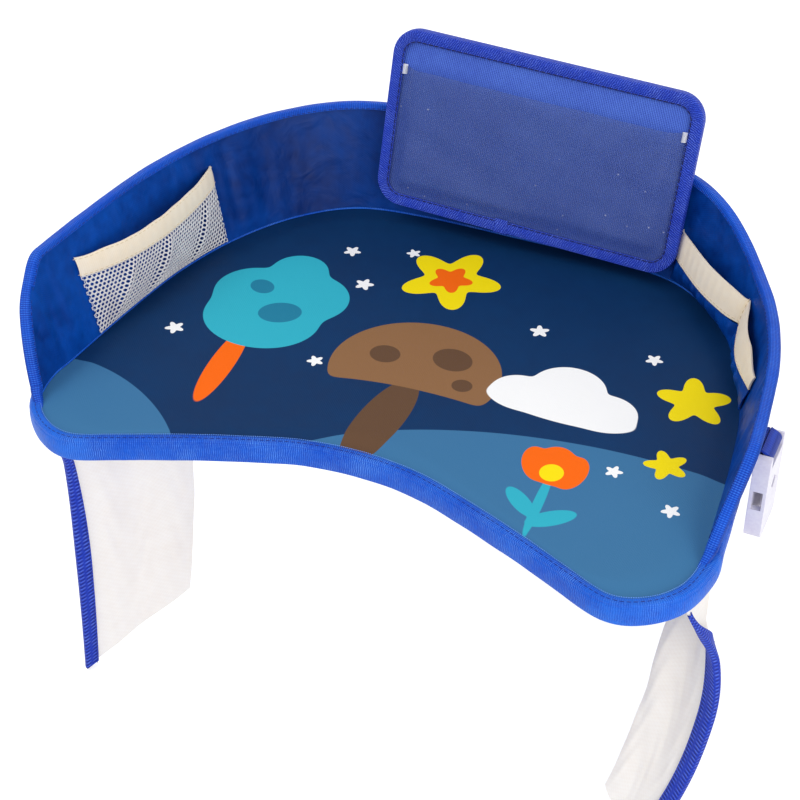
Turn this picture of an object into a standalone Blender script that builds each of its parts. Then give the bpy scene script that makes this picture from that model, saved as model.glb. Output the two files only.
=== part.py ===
"""Tray table for a child's car seat: a padded D-shaped board with a soft wall, pockets and a device holder.

Metres, +Z up. The child sits on the -Y side, in the curved front. The origin is on the underside of the tray.
"""
import math

import bmesh
import bpy
import numpy as np
from mathutils import Matrix, Vector

# Outline of the visible printed panel, seen from above
PANEL_HALF_WIDTH = 0.1905
PANEL_DEPTH = 0.2775
TOE_LINE_Y = -0.100
# Right half, back centre to front centre: shares of the half width and of the depth from the toe line
OUTLINE_SHARES = (
    (0.0, 1.0), (0.31, 0.998), (0.55, 0.972), (0.72, 0.882), (0.845, 0.745), (0.925, 0.58),
    (0.965, 0.40), (0.99, 0.22), (1.0, 0.145), (0.975, 0.07), (0.905, 0.018), (0.81, 0.0),
    (0.68, 0.035), (0.53, 0.08), (0.36, 0.125), (0.18, 0.165), (0.0, 0.178),
)
OUTLINE_STATION_COUNT = 72
OUTLINE_SAMPLE_COUNT = 40
CORNER_DENSITY_LENGTH = 0.060

# Layers of the board, from the underside up
FIT_GAP = 0.0003
BOTTOM_CLOTH_THICKNESS = 0.0008
BASE_BOARD_THICKNESS = 0.003
FOAM_THICKNESS = 0.0065
PRINTED_CLOTH_THICKNESS = 0.0008
BOARD_EDGE_REACH = 0.0025
CLOTH_PRESS_DEPTH = 0.0001
CLOTH_PRESS_MARGIN = 0.0006

# Rim binding round the board
RIM_TAPE_THICKNESS = 0.001
RIM_FRONT_REACH = 0.0055
RIM_SIDE_REACH = 0.0085
RIM_FLAT_REACH = 0.0045
RIM_ROUND_STEP_COUNT = 6
RIM_FLAT_SHARE = 0.8
RIM_REACH_RUN = 0.048

# Soft wall round the sides and the back
WALL_HEIGHT = 0.065
RIGHT_WALL_HEIGHT = 0.044
WALL_LEAN_ANGLE = math.radians(14.0)
RIGHT_WALL_LEAN_ANGLE = math.radians(15.0)
WALL_DROOP_START = 0.080
WALL_DROOP_RUN = 0.100
LEFT_WALL_END_TOE_DISTANCE = 0.024
RIGHT_WALL_END_TOE_DISTANCE = 0.048
WALL_END_RISE_RUN = 0.040
WALL_END_HEIGHT = 0.004
WALL_CLOTH_THICKNESS = 0.0008
WALL_STIFFENER_THICKNESS = 0.002
WALL_LAYER_GAP = 0.0004
WALL_STATION_COUNT = 60
WALL_STATION_CROWDING = 1.25
WALL_ROW_COUNT = 2
WALL_BINDING_TAPE = 0.0011
WALL_BINDING_DEPTH = 0.0042
WALL_BINDING_CROWN = 0.0019
WALL_BINDING_SLACK = 0.0005
TAPE_SIDE_ROUNDNESS = 0.6
TAPE_NOSE_ROUNDNESS = 0.75
TAPE_ROUND_STEP_COUNT = 4

# Net pocket on the left wall, places as lengths along the outline from the back centre
NET_POCKET_START = 0.200
NET_POCKET_END = 0.318
NET_HEIGHT = 0.038
NET_FOOT_HEIGHT = 0.001
NET_POCKET_BULGE = 0.015
NET_THICKNESS = 0.0008
NET_GAP_COLUMN_COUNT = 15
NET_GAP_ROW_COUNT = 6
NET_STRAND_WIDTH = 0.0013
NET_HEM_HEIGHT = 0.0118
NET_HEM_THICKNESS = 0.001
NET_HEM_DIP = 0.005
NET_HEM_COLUMN_COUNT = 18

# Pleated pouch on the right wall, with two compartments
POUCH_START = 0.104
POUCH_DIVISION = 0.178
POUCH_END = 0.238
POUCH_HEIGHT = 0.020
POUCH_FOOT_HEIGHT = 0.001
POUCH_BULGE = 0.014
POUCH_PLEAT_DEPTH = 0.0011
POUCH_PLEAT_COUNT = 12
POUCH_THICKNESS = 0.0008
POUCH_COLUMN_COUNT = 72
POUCH_ROW_COUNT = 3
POUCH_HEM_HEIGHT = 0.0125
POUCH_HEM_THICKNESS = 0.001
POUCH_HEM_DIP = 0.006
POUCH_HEM_COLUMN_COUNT = 36
POCKET_WALL_CLEARANCE = 0.0007
NET_SIDE_ROUNDNESS = 0.75
POUCH_SIDE_ROUNDNESS = 1.1
POCKET_RISE_ROUNDNESS = 0.8

# Hook and loop strips between the back wall and the device holder
STRIP_HALF_LENGTH = 0.045
STRIP_WIDTH = 0.025
STRIP_CENTRE_HEIGHT = 0.040
STRIP_COLUMN_COUNT = 10
STRIP_CORNER_RADIUS = 0.0012
STRIP_CORNER_STEP_COUNT = 2

# Device holder
HOLDER_WIDTH = 0.194
HOLDER_HEIGHT = 0.110
HOLDER_CORNER_RADIUS = 0.015
HOLDER_CORNER_STEP_COUNT = 6
HOLDER_CENTRE_X = 0.009
HOLDER_CENTRE_Z = 0.0775
HOLDER_TILT_ANGLE = math.radians(-2.0)
HOLDER_WALL_CLEARANCE = 0.0007
HOLDER_CLOTH_THICKNESS = 0.0008
HOLDER_STIFFENER_THICKNESS = 0.002
HOLDER_TAPE_THICKNESS = 0.001
HOLDER_BINDING_DEPTH = 0.0065
HOLDER_BINDING_CROWN = 0.0013
WINDOW_THICKNESS = 0.0005
WINDOW_POCKET_DEPTH = 0.0125
WINDOW_MOUTH_DROP = 0.022
WINDOW_RISE_RUN = 0.012
WINDOW_COLUMN_COUNT = 28
WINDOW_ROW_COUNT = 18

# Hanging side flaps
FLAP_SEAM_TOE_DISTANCE = 0.036
FLAP_SEAM_LENGTH = 0.076
FLAP_FRONT_LENGTH = 0.246
FLAP_REAR_LENGTH = 0.205
FLAP_FRONT_SHIFT = 0.018
LEFT_FLAP_FRONT_DRIFT = 0.010
LEFT_FLAP_REAR_DRIFT = 0.040
LEFT_FLAP_REAR_SHIFT = 0.002
RIGHT_FLAP_FRONT_DRIFT = 0.018
RIGHT_FLAP_REAR_DRIFT = 0.030
RIGHT_FLAP_REAR_SHIFT = 0.040
FLAP_FOLD_DEPTH = 0.0045
FLAP_FOLD_COUNT = 2.6
FLAP_FOLD_OUT_SHARE = 0.6
FLAP_FOLD_ALONG_SHARE = 0.5
FLAP_TURN_SHARE = 0.46
LEFT_FLAP_SWING = 0.010
RIGHT_FLAP_SWING = -0.018
FLAP_CLOTH_THICKNESS = 0.0012
FLAP_SEAM_THICKNESS_SHARE = 0.6
FLAP_SEAM_GAP = 0.0006
FLAP_COLUMN_COUNT = 14
FLAP_TAPE_SLACK = 0.0009
FLAP_ROW_COUNT = 16
FLAP_FLAT_SHARE = 2.3
FLAP_TAPE_THICKNESS = 0.0009
FLAP_TAPE_WIDTH = 0.008
FLAP_TAPE_CROWN = 0.0021
FLAP_TAPE_START_SHARE = 1.5

# Webbing tabs and the two buckle halves
WEBBING_WIDTH = 0.020
WEBBING_THICKNESS = 0.0013
TAB_TOE_DISTANCE = 0.10179212
RIGHT_TAB_DROP = 0.0125
LEFT_TAB_DROP = 0.026
LEFT_TAB_LENGTH = 0.012
BUCKLE_WIDTH = 0.029
BUCKLE_THICKNESS = 0.009
BUCKLE_LENGTH = 0.054
BUCKLE_BAR_THICKNESS = 0.003
BUCKLE_BAR_CLEARANCE = 0.0004
BUCKLE_CHEEK_HEIGHT = 0.0032
BUCKLE_EDGE_ROUNDING = 0.0012
BUCKLE_CORNER_RADIUS = 0.004
BUCKLE_CORNER_STEP_COUNT = 4
BUCKLE_SLOT_CLEARANCE = 0.0008
SOCKET_WIDTH = 0.0215
SOCKET_DEPTH = 0.034
SOCKET_HEIGHT = 0.0052
SOCKET_SIDE_WINDOW_HEIGHT = 0.012
SOCKET_SIDE_WINDOW_DROP = 0.019
SOCKET_DIAMOND_WIDTH = 0.009
SOCKET_DIAMOND_DROP = 0.021
PLUG_THICKNESS = 0.0046
PLUG_BODY_LENGTH = 0.017
PLUG_PRONG_LENGTH = 0.027
PLUG_PRONG_WIDTH = 0.0036
PLUG_CATCH_DEPTH = 0.0026
PLUG_GUIDE_WIDTH = 0.006
PLUG_TIP_RUN = 0.006
PLUG_EDGE_ROUNDING = 0.0004
PLUG_GUIDE_TIP_SHARE = 0.7
TAB_ROUND_STEP_COUNT = 14
CUT_OVERRUN = 0.004
MERGE_DISTANCE = 0.00005
SMOOTH_ANGLE = math.radians(35.0)
ROUNDED_EDGE_ANGLE = math.radians(40.0)
ROUNDING_STEP_COUNT = 2

# Heights that follow from the layers
BOARD_TOP_Z = (
    BOTTOM_CLOTH_THICKNESS + BASE_BOARD_THICKNESS + FOAM_THICKNESS + PRINTED_CLOTH_THICKNESS + 3 * FIT_GAP
)
RIM_TOP_Z = BOARD_TOP_Z + FIT_GAP + RIM_TAPE_THICKNESS
RIM_BOTTOM_Z = -FIT_GAP - RIM_TAPE_THICKNESS
WALL_FOOT_Z = RIM_TOP_Z + FIT_GAP + WALL_STIFFENER_THICKNESS / 2 * math.sin(RIGHT_WALL_LEAN_ANGLE)
WALL_TOTAL_THICKNESS = 2 * WALL_CLOTH_THICKNESS + WALL_STIFFENER_THICKNESS + 2 * WALL_LAYER_GAP


def smooth_step(value):
    """Ease from 0 to 1."""
    held = np.clip(value, 0.0, 1.0)
    return held * held * (3.0 - 2.0 * held)


def unit(vector):
    return vector / np.linalg.norm(vector)


class Outline:
    """The panel's edge as a closed smooth curve, read by its length from the back centre, + to the right."""

    def __init__(self):
        right = [
            (across * PANEL_HALF_WIDTH, TOE_LINE_Y + along * PANEL_DEPTH) for across, along in OUTLINE_SHARES
        ]
        left = [(-x, y) for x, y in reversed(right[1:-1])]
        knots = np.array(right + left)
        points = []
        for index in range(len(knots)):
            before, start, end, after = (knots[(index + step) % len(knots)] for step in (-1, 0, 1, 2))
            for t in np.linspace(0.0, 1.0, OUTLINE_SAMPLE_COUNT, endpoint=False):
                bend = 2 * before - 5 * start + 4 * end - after
                swing = 3 * start - before - 3 * end + after
                points.append(0.5 * (2 * start + (end - before) * t + bend * t * t + swing * t ** 3))
        points.append(points[0])
        self.points = np.array(points)
        steps = np.linalg.norm(np.diff(self.points, axis=0), axis=1)
        self.lengths = np.concatenate([[0.0], np.cumsum(steps)])
        self.perimeter = self.lengths[-1]

    def point(self, length):
        wrapped = length % self.perimeter
        return np.array([np.interp(wrapped, self.lengths, self.points[:, axis]) for axis in (0, 1)])

    def outward(self, length):
        step = self.perimeter / len(self.lengths)
        tangent = unit(self.point(length + step) - self.point(length - step))
        return np.array([-tangent[1], tangent[0]])

    def offset(self, length, distance):
        return self.point(length) + self.outward(length) * distance

    def stations(self, count):
        """Places round the whole edge, closer together in the tight corners."""
        places = np.linspace(0.0, self.perimeter, 8 * count, endpoint=False)
        normals = np.array([self.outward(place) for place in places])
        turns = np.linalg.norm(np.roll(normals, -1, axis=0) - normals, axis=1)
        weights = self.perimeter / len(places) + CORNER_DENSITY_LENGTH * turns
        total = np.concatenate([[0.0], np.cumsum(weights)])
        wanted = np.linspace(0.0, total[-1], count, endpoint=False)
        return np.interp(wanted, total, np.append(places, self.perimeter))

    def back_y(self, x):
        """Height of the back edge at a distance x to the right of the middle."""
        back = self.lengths < self.perimeter / 4
        return float(np.interp(x, self.points[back, 0], self.points[back, 1]))

    def length_at_y(self, y):
        """Length from the back centre to the height y on the right side, above the toe."""
        half = self.lengths < self.perimeter / 2
        lengths, heights = self.lengths[half], self.points[half, 1]
        widest = int(np.argmin(heights))
        return float(np.interp(-y, -heights[:widest], lengths[:widest]))


OUTLINE = Outline()
LEFT_WALL_END = OUTLINE.length_at_y(TOE_LINE_Y + LEFT_WALL_END_TOE_DISTANCE)
RIGHT_WALL_END = OUTLINE.length_at_y(TOE_LINE_Y + RIGHT_WALL_END_TOE_DISTANCE)


def wall_blend(length):
    """0 on the left and at the back, 1 on the slack right side."""
    return smooth_step((length - WALL_DROOP_START) / WALL_DROOP_RUN)


def wall_lean(length):
    """Angle by which the wall leans outward."""
    return WALL_LEAN_ANGLE + (RIGHT_WALL_LEAN_ANGLE - WALL_LEAN_ANGLE) * wall_blend(length)


def wall_height(length):
    """Height of the wall's top edge above its foot, falling in a quarter wave at both ends."""
    full = WALL_HEIGHT + (RIGHT_WALL_HEIGHT - WALL_HEIGHT) * wall_blend(length)
    end = RIGHT_WALL_END if length > 0.0 else LEFT_WALL_END
    rise = np.clip((end - abs(length)) / WALL_END_RISE_RUN, 0.0, 1.0)
    return WALL_END_HEIGHT + (full - WALL_END_HEIGHT) * math.sin(math.pi / 2 * rise)


def wall_point(length, height, depth=0.0):
    """A place at a height up the wall's inner face, then a depth square off it into the tray."""
    lean = wall_lean(length)
    x, y = OUTLINE.offset(length, math.tan(lean) * height - math.cos(lean) * depth)
    return np.array([x, y, WALL_FOOT_Z + height + math.sin(lean) * depth])


def wall_stations():
    """Lengths along the wall, closer together where its ends come down."""
    shares = np.linspace(-1.0, 1.0, WALL_STATION_COUNT)
    eased = np.sign(shares) * (1.0 - (1.0 - np.abs(shares)) ** WALL_STATION_CROWDING)
    return eased * np.where(shares > 0.0, RIGHT_WALL_END, LEFT_WALL_END)


def finish(name, colour, roughness, metallic=0.0, alpha=1.0):
    material = bpy.data.materials.get(name) or bpy.data.materials.new(name)
    material.use_nodes = True
    shader = material.node_tree.nodes["Principled BSDF"]
    shader.inputs["Base Color"].default_value = (*colour, 1.0)
    shader.inputs["Roughness"].default_value = roughness
    shader.inputs["Metallic"].default_value = metallic
    shader.inputs["Alpha"].default_value = alpha
    return material


def printed_cloth():
    return finish("printed_cloth", (0.008, 0.036, 0.110), 0.55)


def blue_cloth():
    return finish("blue_cloth", (0.005, 0.040, 0.330), 0.45)


def blue_tape():
    return finish("blue_tape", (0.012, 0.075, 0.600), 0.6)


def white_cloth():
    return finish("white_cloth", (0.90, 0.87, 0.84), 0.8)


def beige_elastic():
    return finish("beige_elastic", (0.87, 0.76, 0.60), 0.75)


def grey_net():
    return finish("grey_net", (0.70, 0.70, 0.76), 0.6)


def clear_film():
    return finish("clear_film", (0.85, 0.90, 0.98), 0.12, alpha=0.25)


def white_plastic():
    return finish("white_plastic", (0.80, 0.80, 0.82), 0.35)


def foam():
    return finish("foam", (0.78, 0.78, 0.74), 0.9)


def board():
    return finish("board", (0.35, 0.35, 0.36), 0.6)


def hook_loop():
    return finish("hook_loop", (0.010, 0.045, 0.330), 0.9)


def clear_scene():
    for existing in list(bpy.data.objects):
        bpy.data.objects.remove(existing, do_unlink=True)
    scene_collection = bpy.context.scene.collection
    parts = bpy.data.collections.new("car_seat_tray_table")
    cutters = bpy.data.collections.new("cutters")
    scene_collection.children.link(parts)
    scene_collection.children.link(cutters)
    return parts, cutters


PARTS, CUTTERS = clear_scene()


def add_object(name, data, material, parent=None, matrix=None):
    """Link an object; with a parent, its mesh stays where it is and its origin moves to the parent's."""
    part = bpy.data.objects.new(name, data)
    PARTS.objects.link(part)
    data.materials.append(material)
    if matrix is not None:
        part.matrix_world = matrix
    if parent is not None:
        if matrix is None:
            data.transform(parent.matrix_world.inverted())
            part.parent = parent
        else:
            part.parent = parent
            part.matrix_parent_inverse = parent.matrix_world.inverted()
    return part


def add_pivot(name, place):
    pivot = bpy.data.objects.new(name, None)
    pivot.location = place
    PARTS.objects.link(pivot)
    bpy.context.view_layer.update()
    return pivot


def shade_smooth(mesh):
    mesh.shade_smooth()
    mesh.set_sharp_from_angle(angle=SMOOTH_ANGLE)


def loft(name, rings, material, closed=False, parent=None):
    """Skin rings of equal point counts; an open run gets end caps."""
    model = bmesh.new()
    rows = [[model.verts.new(point) for point in ring] for ring in rings]
    spans = len(rows) if closed else len(rows) - 1
    for index in range(spans):
        here, there = rows[index], rows[(index + 1) % len(rows)]
        for corner in range(len(here)):
            beside = (corner + 1) % len(here)
            model.faces.new((here[corner], here[beside], there[beside], there[corner]))
    if not closed:
        model.faces.new(list(reversed(rows[0])))
        model.faces.new(rows[-1])
    bmesh.ops.recalc_face_normals(model, faces=model.faces)
    mesh = bpy.data.meshes.new(name)
    model.to_mesh(mesh)
    model.free()
    shade_smooth(mesh)
    return add_object(name, mesh, material, parent)


def sheet(name, place, columns, rows, thickness, material, parent=None, keep=None, edge_shares=None):
    """A cloth: a grid laid by place(u, v), given its thickness by Solidify.

    keep(column, row) leaves cells out; edge_shares are the u values of the columns' edges.
    """
    model = bmesh.new()
    bmesh.ops.create_grid(model, x_segments=columns, y_segments=rows, size=1)
    if keep is not None:
        open_cells = []
        for face in model.faces:
            centre = face.calc_center_median()
            column = int((centre.x + 1) / 2 * columns)
            row = int((centre.y + 1) / 2 * rows)
            if not keep(column, row):
                open_cells.append(face)
        bmesh.ops.delete(model, geom=open_cells, context="FACES")
    for vertex in model.verts:
        u, v = (vertex.co.x + 1) / 2, (vertex.co.y + 1) / 2
        if edge_shares is not None:
            u = edge_shares[0][round(u * columns)]
            v = edge_shares[1][round(v * rows)]
        vertex.co = Vector(place(u, v))
    mesh = bpy.data.meshes.new(name)
    model.to_mesh(mesh)
    model.free()
    shade_smooth(mesh)
    cloth = add_object(name, mesh, material, parent)
    solidify = cloth.modifiers.new("thickness", "SOLIDIFY")
    solidify.thickness = thickness
    solidify.offset = 0.0
    solidify.use_even_offset = True
    return cloth


def edge_section(core, tape, depth, gap, crown, flat, steps=TAPE_ROUND_STEP_COUNT):
    """Points of a folded tape as (into, across) pairs round a sheet's edge at (0, 0).

    core is the bound thickness, depth the width of the lips, crown the reach past the edge, and flat how
    far past the edge the lips stay flat before the outside turns.
    """
    inner = core / 2 + gap
    outer = inner + tape
    section = [(depth, outer)]
    for step in range(steps + 1):
        angle = math.pi / 2 - math.pi * step / steps
        across = outer * math.copysign(abs(math.sin(angle)) ** TAPE_SIDE_ROUNDNESS, math.sin(angle))
        nose = math.cos(angle) ** TAPE_NOSE_ROUNDNESS if 0 < step < steps else 0.0
        past = flat + (crown - flat) * nose
        section.append((-past, across))
    section += [(depth, -outer), (depth, -inner), (-gap, -inner), (-gap, inner), (depth, inner)]
    return section


def bind_edge(name, rail, section_at, material, closed=False, parent=None):
    """Sweep a folded tape along a rail of (point, into, across) frames."""
    rings = []
    for index, (point, into, across) in enumerate(rail):
        rings.append([tuple(point + into * a + across * b) for a, b in section_at(index)])
    return loft(name, rings, material, closed, parent)


def round_edges(part, width):
    rounding = part.modifiers.new("rounding", "BEVEL")
    rounding.width = width
    rounding.segments = ROUNDING_STEP_COUNT
    rounding.limit_method = "ANGLE"
    rounding.angle_limit = ROUNDED_EDGE_ANGLE


def flat_plate(name, loops, thickness, matrix, material, parent=None):
    """A plate from 2D outlines, the first outside and the others holes; its lower face lies at the matrix."""
    curve = bpy.data.curves.new(name, "CURVE")
    curve.dimensions = "2D"
    curve.fill_mode = "BOTH"
    curve.extrude = thickness / 2
    for loop in loops:
        spline = curve.splines.new("POLY")
        spline.points.add(len(loop) - 1)
        for point, (x, y) in zip(spline.points, loop):
            point.co = (x, y, 0.0, 1.0)
        spline.use_cyclic_u = True
    drawing = bpy.data.objects.new(name + "_outline", curve)
    PARTS.objects.link(drawing)
    bpy.context.view_layer.update()
    evaluated = drawing.evaluated_get(bpy.context.evaluated_depsgraph_get())
    mesh = bpy.data.meshes.new_from_object(evaluated)
    mesh.name = name
    bpy.data.objects.remove(drawing, do_unlink=True)
    bpy.data.curves.remove(curve)
    model = bmesh.new()
    model.from_mesh(mesh)
    bmesh.ops.remove_doubles(model, verts=model.verts, dist=MERGE_DISTANCE)
    bmesh.ops.translate(model, verts=model.verts, vec=(0.0, 0.0, thickness / 2))
    bmesh.ops.recalc_face_normals(model, faces=model.faces)
    model.to_mesh(mesh)
    model.free()
    mesh.materials.clear()
    shade_smooth(mesh)
    return add_object(name, mesh, material, parent, matrix)


def rounded_rectangle(width, height, radius, steps, centre=(0.0, 0.0)):
    points = []
    for corner, (sx, sy) in enumerate(((1, 1), (-1, 1), (-1, -1), (1, -1))):
        for step in range(steps + 1):
            angle = math.pi / 2 * (corner + step / steps)
            x = centre[0] + sx * (width / 2 - radius) + radius * math.cos(angle)
            y = centre[1] + sy * (height / 2 - radius) + radius * math.sin(angle)
            points.append((x, y))
    return points


def cut_box(target, name, size, matrix):
    """Cut a box of the given size, centred on the matrix, out of the target."""
    model = bmesh.new()
    bmesh.ops.create_cube(model, size=1)
    bmesh.ops.scale(model, verts=model.verts, vec=size)
    mesh = bpy.data.meshes.new(name)
    model.to_mesh(mesh)
    model.free()
    cutter = bpy.data.objects.new(name, mesh)
    CUTTERS.objects.link(cutter)
    cutter.matrix_world = matrix
    cutter.hide_render = True
    cutter.display_type = "WIRE"
    cut = target.modifiers.new(name, "BOOLEAN")
    cut.operation = "DIFFERENCE"
    cut.solver = "EXACT"
    cut.object = cutter
    return cutter


def outline_loop(distance):
    return [tuple(OUTLINE.offset(length, distance)) for length in OUTLINE.stations(OUTLINE_STATION_COUNT)]


def pressed_cloth(name, inner_level, outer_level, material):
    """A flat cloth whose outer face steps in by a little all round, where the rim tape's lip presses it."""
    pressed_level = outer_level - math.copysign(CLOTH_PRESS_DEPTH, outer_level - inner_level)
    edge = outline_loop(BOARD_EDGE_REACH)
    step_out = outline_loop(-CLOTH_PRESS_MARGIN)
    step_in = outline_loop(-CLOTH_PRESS_MARGIN - CLOTH_PRESS_DEPTH)
    rings = (
        [(x, y, inner_level) for x, y in edge],
        [(x, y, pressed_level) for x, y in edge],
        [(x, y, pressed_level) for x, y in step_out],
        [(x, y, outer_level) for x, y in step_in],
    )
    loft(name, rings, material)


def build_board():
    """The layers of the padded board: cloth, stiff board, foam and the printed cloth."""
    loop = outline_loop(BOARD_EDGE_REACH)
    pressed_cloth("bottom_panel", BOTTOM_CLOTH_THICKNESS, 0.0, blue_cloth())
    level = BOTTOM_CLOTH_THICKNESS + FIT_GAP
    flat_plate("base_board", [loop], BASE_BOARD_THICKNESS, Matrix.Translation((0.0, 0.0, level)), board())
    level += BASE_BOARD_THICKNESS + FIT_GAP
    flat_plate("foam_pad", [loop], FOAM_THICKNESS, Matrix.Translation((0.0, 0.0, level)), foam())
    pressed_cloth("printed_panel", BOARD_TOP_Z - PRINTED_CLOTH_THICKNESS, BOARD_TOP_Z, printed_cloth())


def rim_reach(length):
    """How far the rim stands out past the printed panel: more at the sides than in the curved front."""
    y = OUTLINE.point(length)[1]
    inward = smooth_step((y - TOE_LINE_Y) / RIM_REACH_RUN)
    sideways = smooth_step(abs(OUTLINE.point(length)[0]) / PANEL_HALF_WIDTH * 2 - 1)
    return RIM_FRONT_REACH + (RIM_SIDE_REACH - RIM_FRONT_REACH) * inward * sideways


def build_rim():
    rail, reaches = [], []
    for length in OUTLINE.stations(OUTLINE_STATION_COUNT):
        x, y = OUTLINE.offset(length, BOARD_EDGE_REACH)
        nx, ny = OUTLINE.outward(length)
        rail.append((np.array([x, y, BOARD_TOP_Z / 2]), np.array([-nx, -ny, 0.0]), np.array([0.0, 0.0, 1.0])))
        reaches.append(rim_reach(length))
    flat = RIM_FLAT_REACH - BOARD_EDGE_REACH

    def section_at(index):
        crown = reaches[index] - BOARD_EDGE_REACH
        return edge_section(
            BOARD_TOP_Z, RIM_TAPE_THICKNESS, BOARD_EDGE_REACH, FIT_GAP, crown,
            min(flat, RIM_FLAT_SHARE * crown), RIM_ROUND_STEP_COUNT,
        )

    bind_edge("rim_binding", rail, section_at, blue_tape(), closed=True)


def wall_layer(name, depth, thickness, material):
    stations = wall_stations()
    places = np.linspace(0.0, 1.0, len(stations))

    def place(u, v):
        length = float(np.interp(u, places, stations))
        foot = -depth * math.sin(wall_lean(length))
        return wall_point(length, foot + (wall_height(length) - foot) * v, depth)

    sheet(name, place, len(stations) - 1, WALL_ROW_COUNT, thickness, material)


def build_wall():
    """Inner cloth, stiffener, outer cloth, and the tape folded over their top edge."""
    cloth, core, gap = WALL_CLOTH_THICKNESS, WALL_STIFFENER_THICKNESS, WALL_LAYER_GAP
    wall_layer("wall_inner_cloth", -cloth / 2, cloth, blue_cloth())
    wall_layer("wall_stiffener", -(cloth + gap + core / 2), core, board())
    wall_layer("wall_outer_cloth", -(1.5 * cloth + 2 * gap + core), cloth, blue_cloth())

    stations = wall_stations()
    tops = [wall_point(length, wall_height(length), -WALL_TOTAL_THICKNESS / 2) for length in stations]
    rail = []
    for index, length in enumerate(stations):
        ahead, behind = tops[min(index + 1, len(tops) - 1)], tops[max(index - 1, 0)]
        along = unit(ahead - behind)
        nx, ny = OUTLINE.outward(length)
        level = np.array([ny, -nx, 0.0])
        lean = math.tan(wall_lean(length))
        slope = unit(np.array([nx * lean, ny * lean, 1.0]))
        across = unit(np.cross(slope, level))
        into = unit(np.cross(across, along))
        if into[2] > 0.0:
            into = -into
        rail.append((tops[index], into, across))
    section = edge_section(
        WALL_TOTAL_THICKNESS, WALL_BINDING_TAPE, WALL_BINDING_DEPTH, WALL_BINDING_SLACK, WALL_BINDING_CROWN,
        FIT_GAP,
    )
    lift = WALL_BINDING_DEPTH + FIT_GAP
    kept = [frame for frame, length in zip(rail, stations) if wall_height(length) > lift]
    bind_edge("wall_top_binding", kept, lambda index: section, blue_tape())


def pocket_swell(share, roundness):
    """How far a pocket's cloth stands out along its width, 0 at both sewn sides."""
    return math.sin(math.pi * min(max(share, 0.0), 1.0)) ** roundness


def pocket_rise(share):
    """How far a pocket's cloth stands out up its height, 0 at the foot and 1 at the mouth."""
    return math.sin(math.pi / 2 * min(max(share, 0.0), 1.0)) ** POCKET_RISE_ROUNDNESS


def strand_edges(gaps, strand_share):
    """Edges of alternating strands and gaps, as shares of the whole, starting and ending on a strand."""
    gap_share = (1.0 - strand_share * (gaps + 1)) / gaps
    edges = [0.0]
    for index in range(2 * gaps + 1):
        edges.append(edges[-1] + (strand_share if index % 2 == 0 else gap_share))
    edges[-1] = 1.0
    return edges


def net_depth(u, v):
    """Depth of the net pocket inside the wall: flat at the foot and the sides, open at the mouth."""
    swell = pocket_swell(u, NET_SIDE_ROUNDNESS)
    return POCKET_WALL_CLEARANCE + NET_HEM_THICKNESS / 2 + NET_POCKET_BULGE * swell * pocket_rise(v)


def net_top(u):
    return NET_HEIGHT - NET_HEM_DIP * pocket_swell(u, NET_SIDE_ROUNDNESS)


def build_net_pocket():
    """A knitted net with open holes and an elastic hem along its mouth, on the left wall."""
    length = NET_POCKET_END - NET_POCKET_START
    columns = strand_edges(NET_GAP_COLUMN_COUNT, NET_STRAND_WIDTH / length)
    rows = strand_edges(NET_GAP_ROW_COUNT, NET_STRAND_WIDTH / NET_HEIGHT)

    def net_place(u, v):
        arc = -(NET_POCKET_START + length * u)
        height = NET_FOOT_HEIGHT + (net_top(u) - NET_FOOT_HEIGHT) * v
        return wall_point(arc, height, net_depth(u, v))

    sheet(
        "mesh_pocket_net", net_place, 2 * NET_GAP_COLUMN_COUNT + 1, 2 * NET_GAP_ROW_COUNT + 1, NET_THICKNESS,
        grey_net(), keep=lambda column, row: column % 2 == 0 or row % 2 == 0, edge_shares=(columns, rows),
    )

    def hem_place(u, v):
        arc = -(NET_POCKET_START + length * u)
        height = net_top(u) + FIT_GAP + NET_HEM_HEIGHT * v
        return wall_point(arc, height, net_depth(u, 1.0))

    sheet("mesh_pocket_hem", hem_place, NET_HEM_COLUMN_COUNT, 1, NET_HEM_THICKNESS, beige_elastic())


def pouch_share(length):
    """Share across the compartment that a length along the wall falls in."""
    if length < POUCH_DIVISION:
        return (length - POUCH_START) / (POUCH_DIVISION - POUCH_START)
    return (length - POUCH_DIVISION) / (POUCH_END - POUCH_DIVISION)


def pouch_depth(length, v):
    swell = pocket_swell(pouch_share(length), POUCH_SIDE_ROUNDNESS)
    return POCKET_WALL_CLEARANCE + POUCH_HEM_THICKNESS / 2 + POUCH_BULGE * swell * pocket_rise(v)


def pouch_top(length):
    return POUCH_HEIGHT - POUCH_HEM_DIP * pocket_swell(pouch_share(length), POUCH_SIDE_ROUNDNESS)


def build_pouch():
    """A pleated cloth pouch, stitched down between its two compartments, with an elastic hem."""
    run = POUCH_END - POUCH_START

    def cloth_place(u, v):
        length = POUCH_START + run * u
        ripple = (1.0 - math.cos(2 * math.pi * POUCH_PLEAT_COUNT * u)) * POUCH_PLEAT_DEPTH
        height = POUCH_FOOT_HEIGHT + (pouch_top(length) - POUCH_FOOT_HEIGHT) * v
        return wall_point(length, height, pouch_depth(length, v) + ripple * v)

    sheet("pouch_cloth", cloth_place, POUCH_COLUMN_COUNT, POUCH_ROW_COUNT, POUCH_THICKNESS, blue_cloth())

    def hem_place(u, v):
        length = POUCH_START + run * u
        height = pouch_top(length) + FIT_GAP + POUCH_HEM_HEIGHT * v
        return wall_point(length, height, pouch_depth(length, 1.0))

    sheet("pouch_hem", hem_place, POUCH_HEM_COLUMN_COUNT, 1, POUCH_HEM_THICKNESS, beige_elastic())


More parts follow.
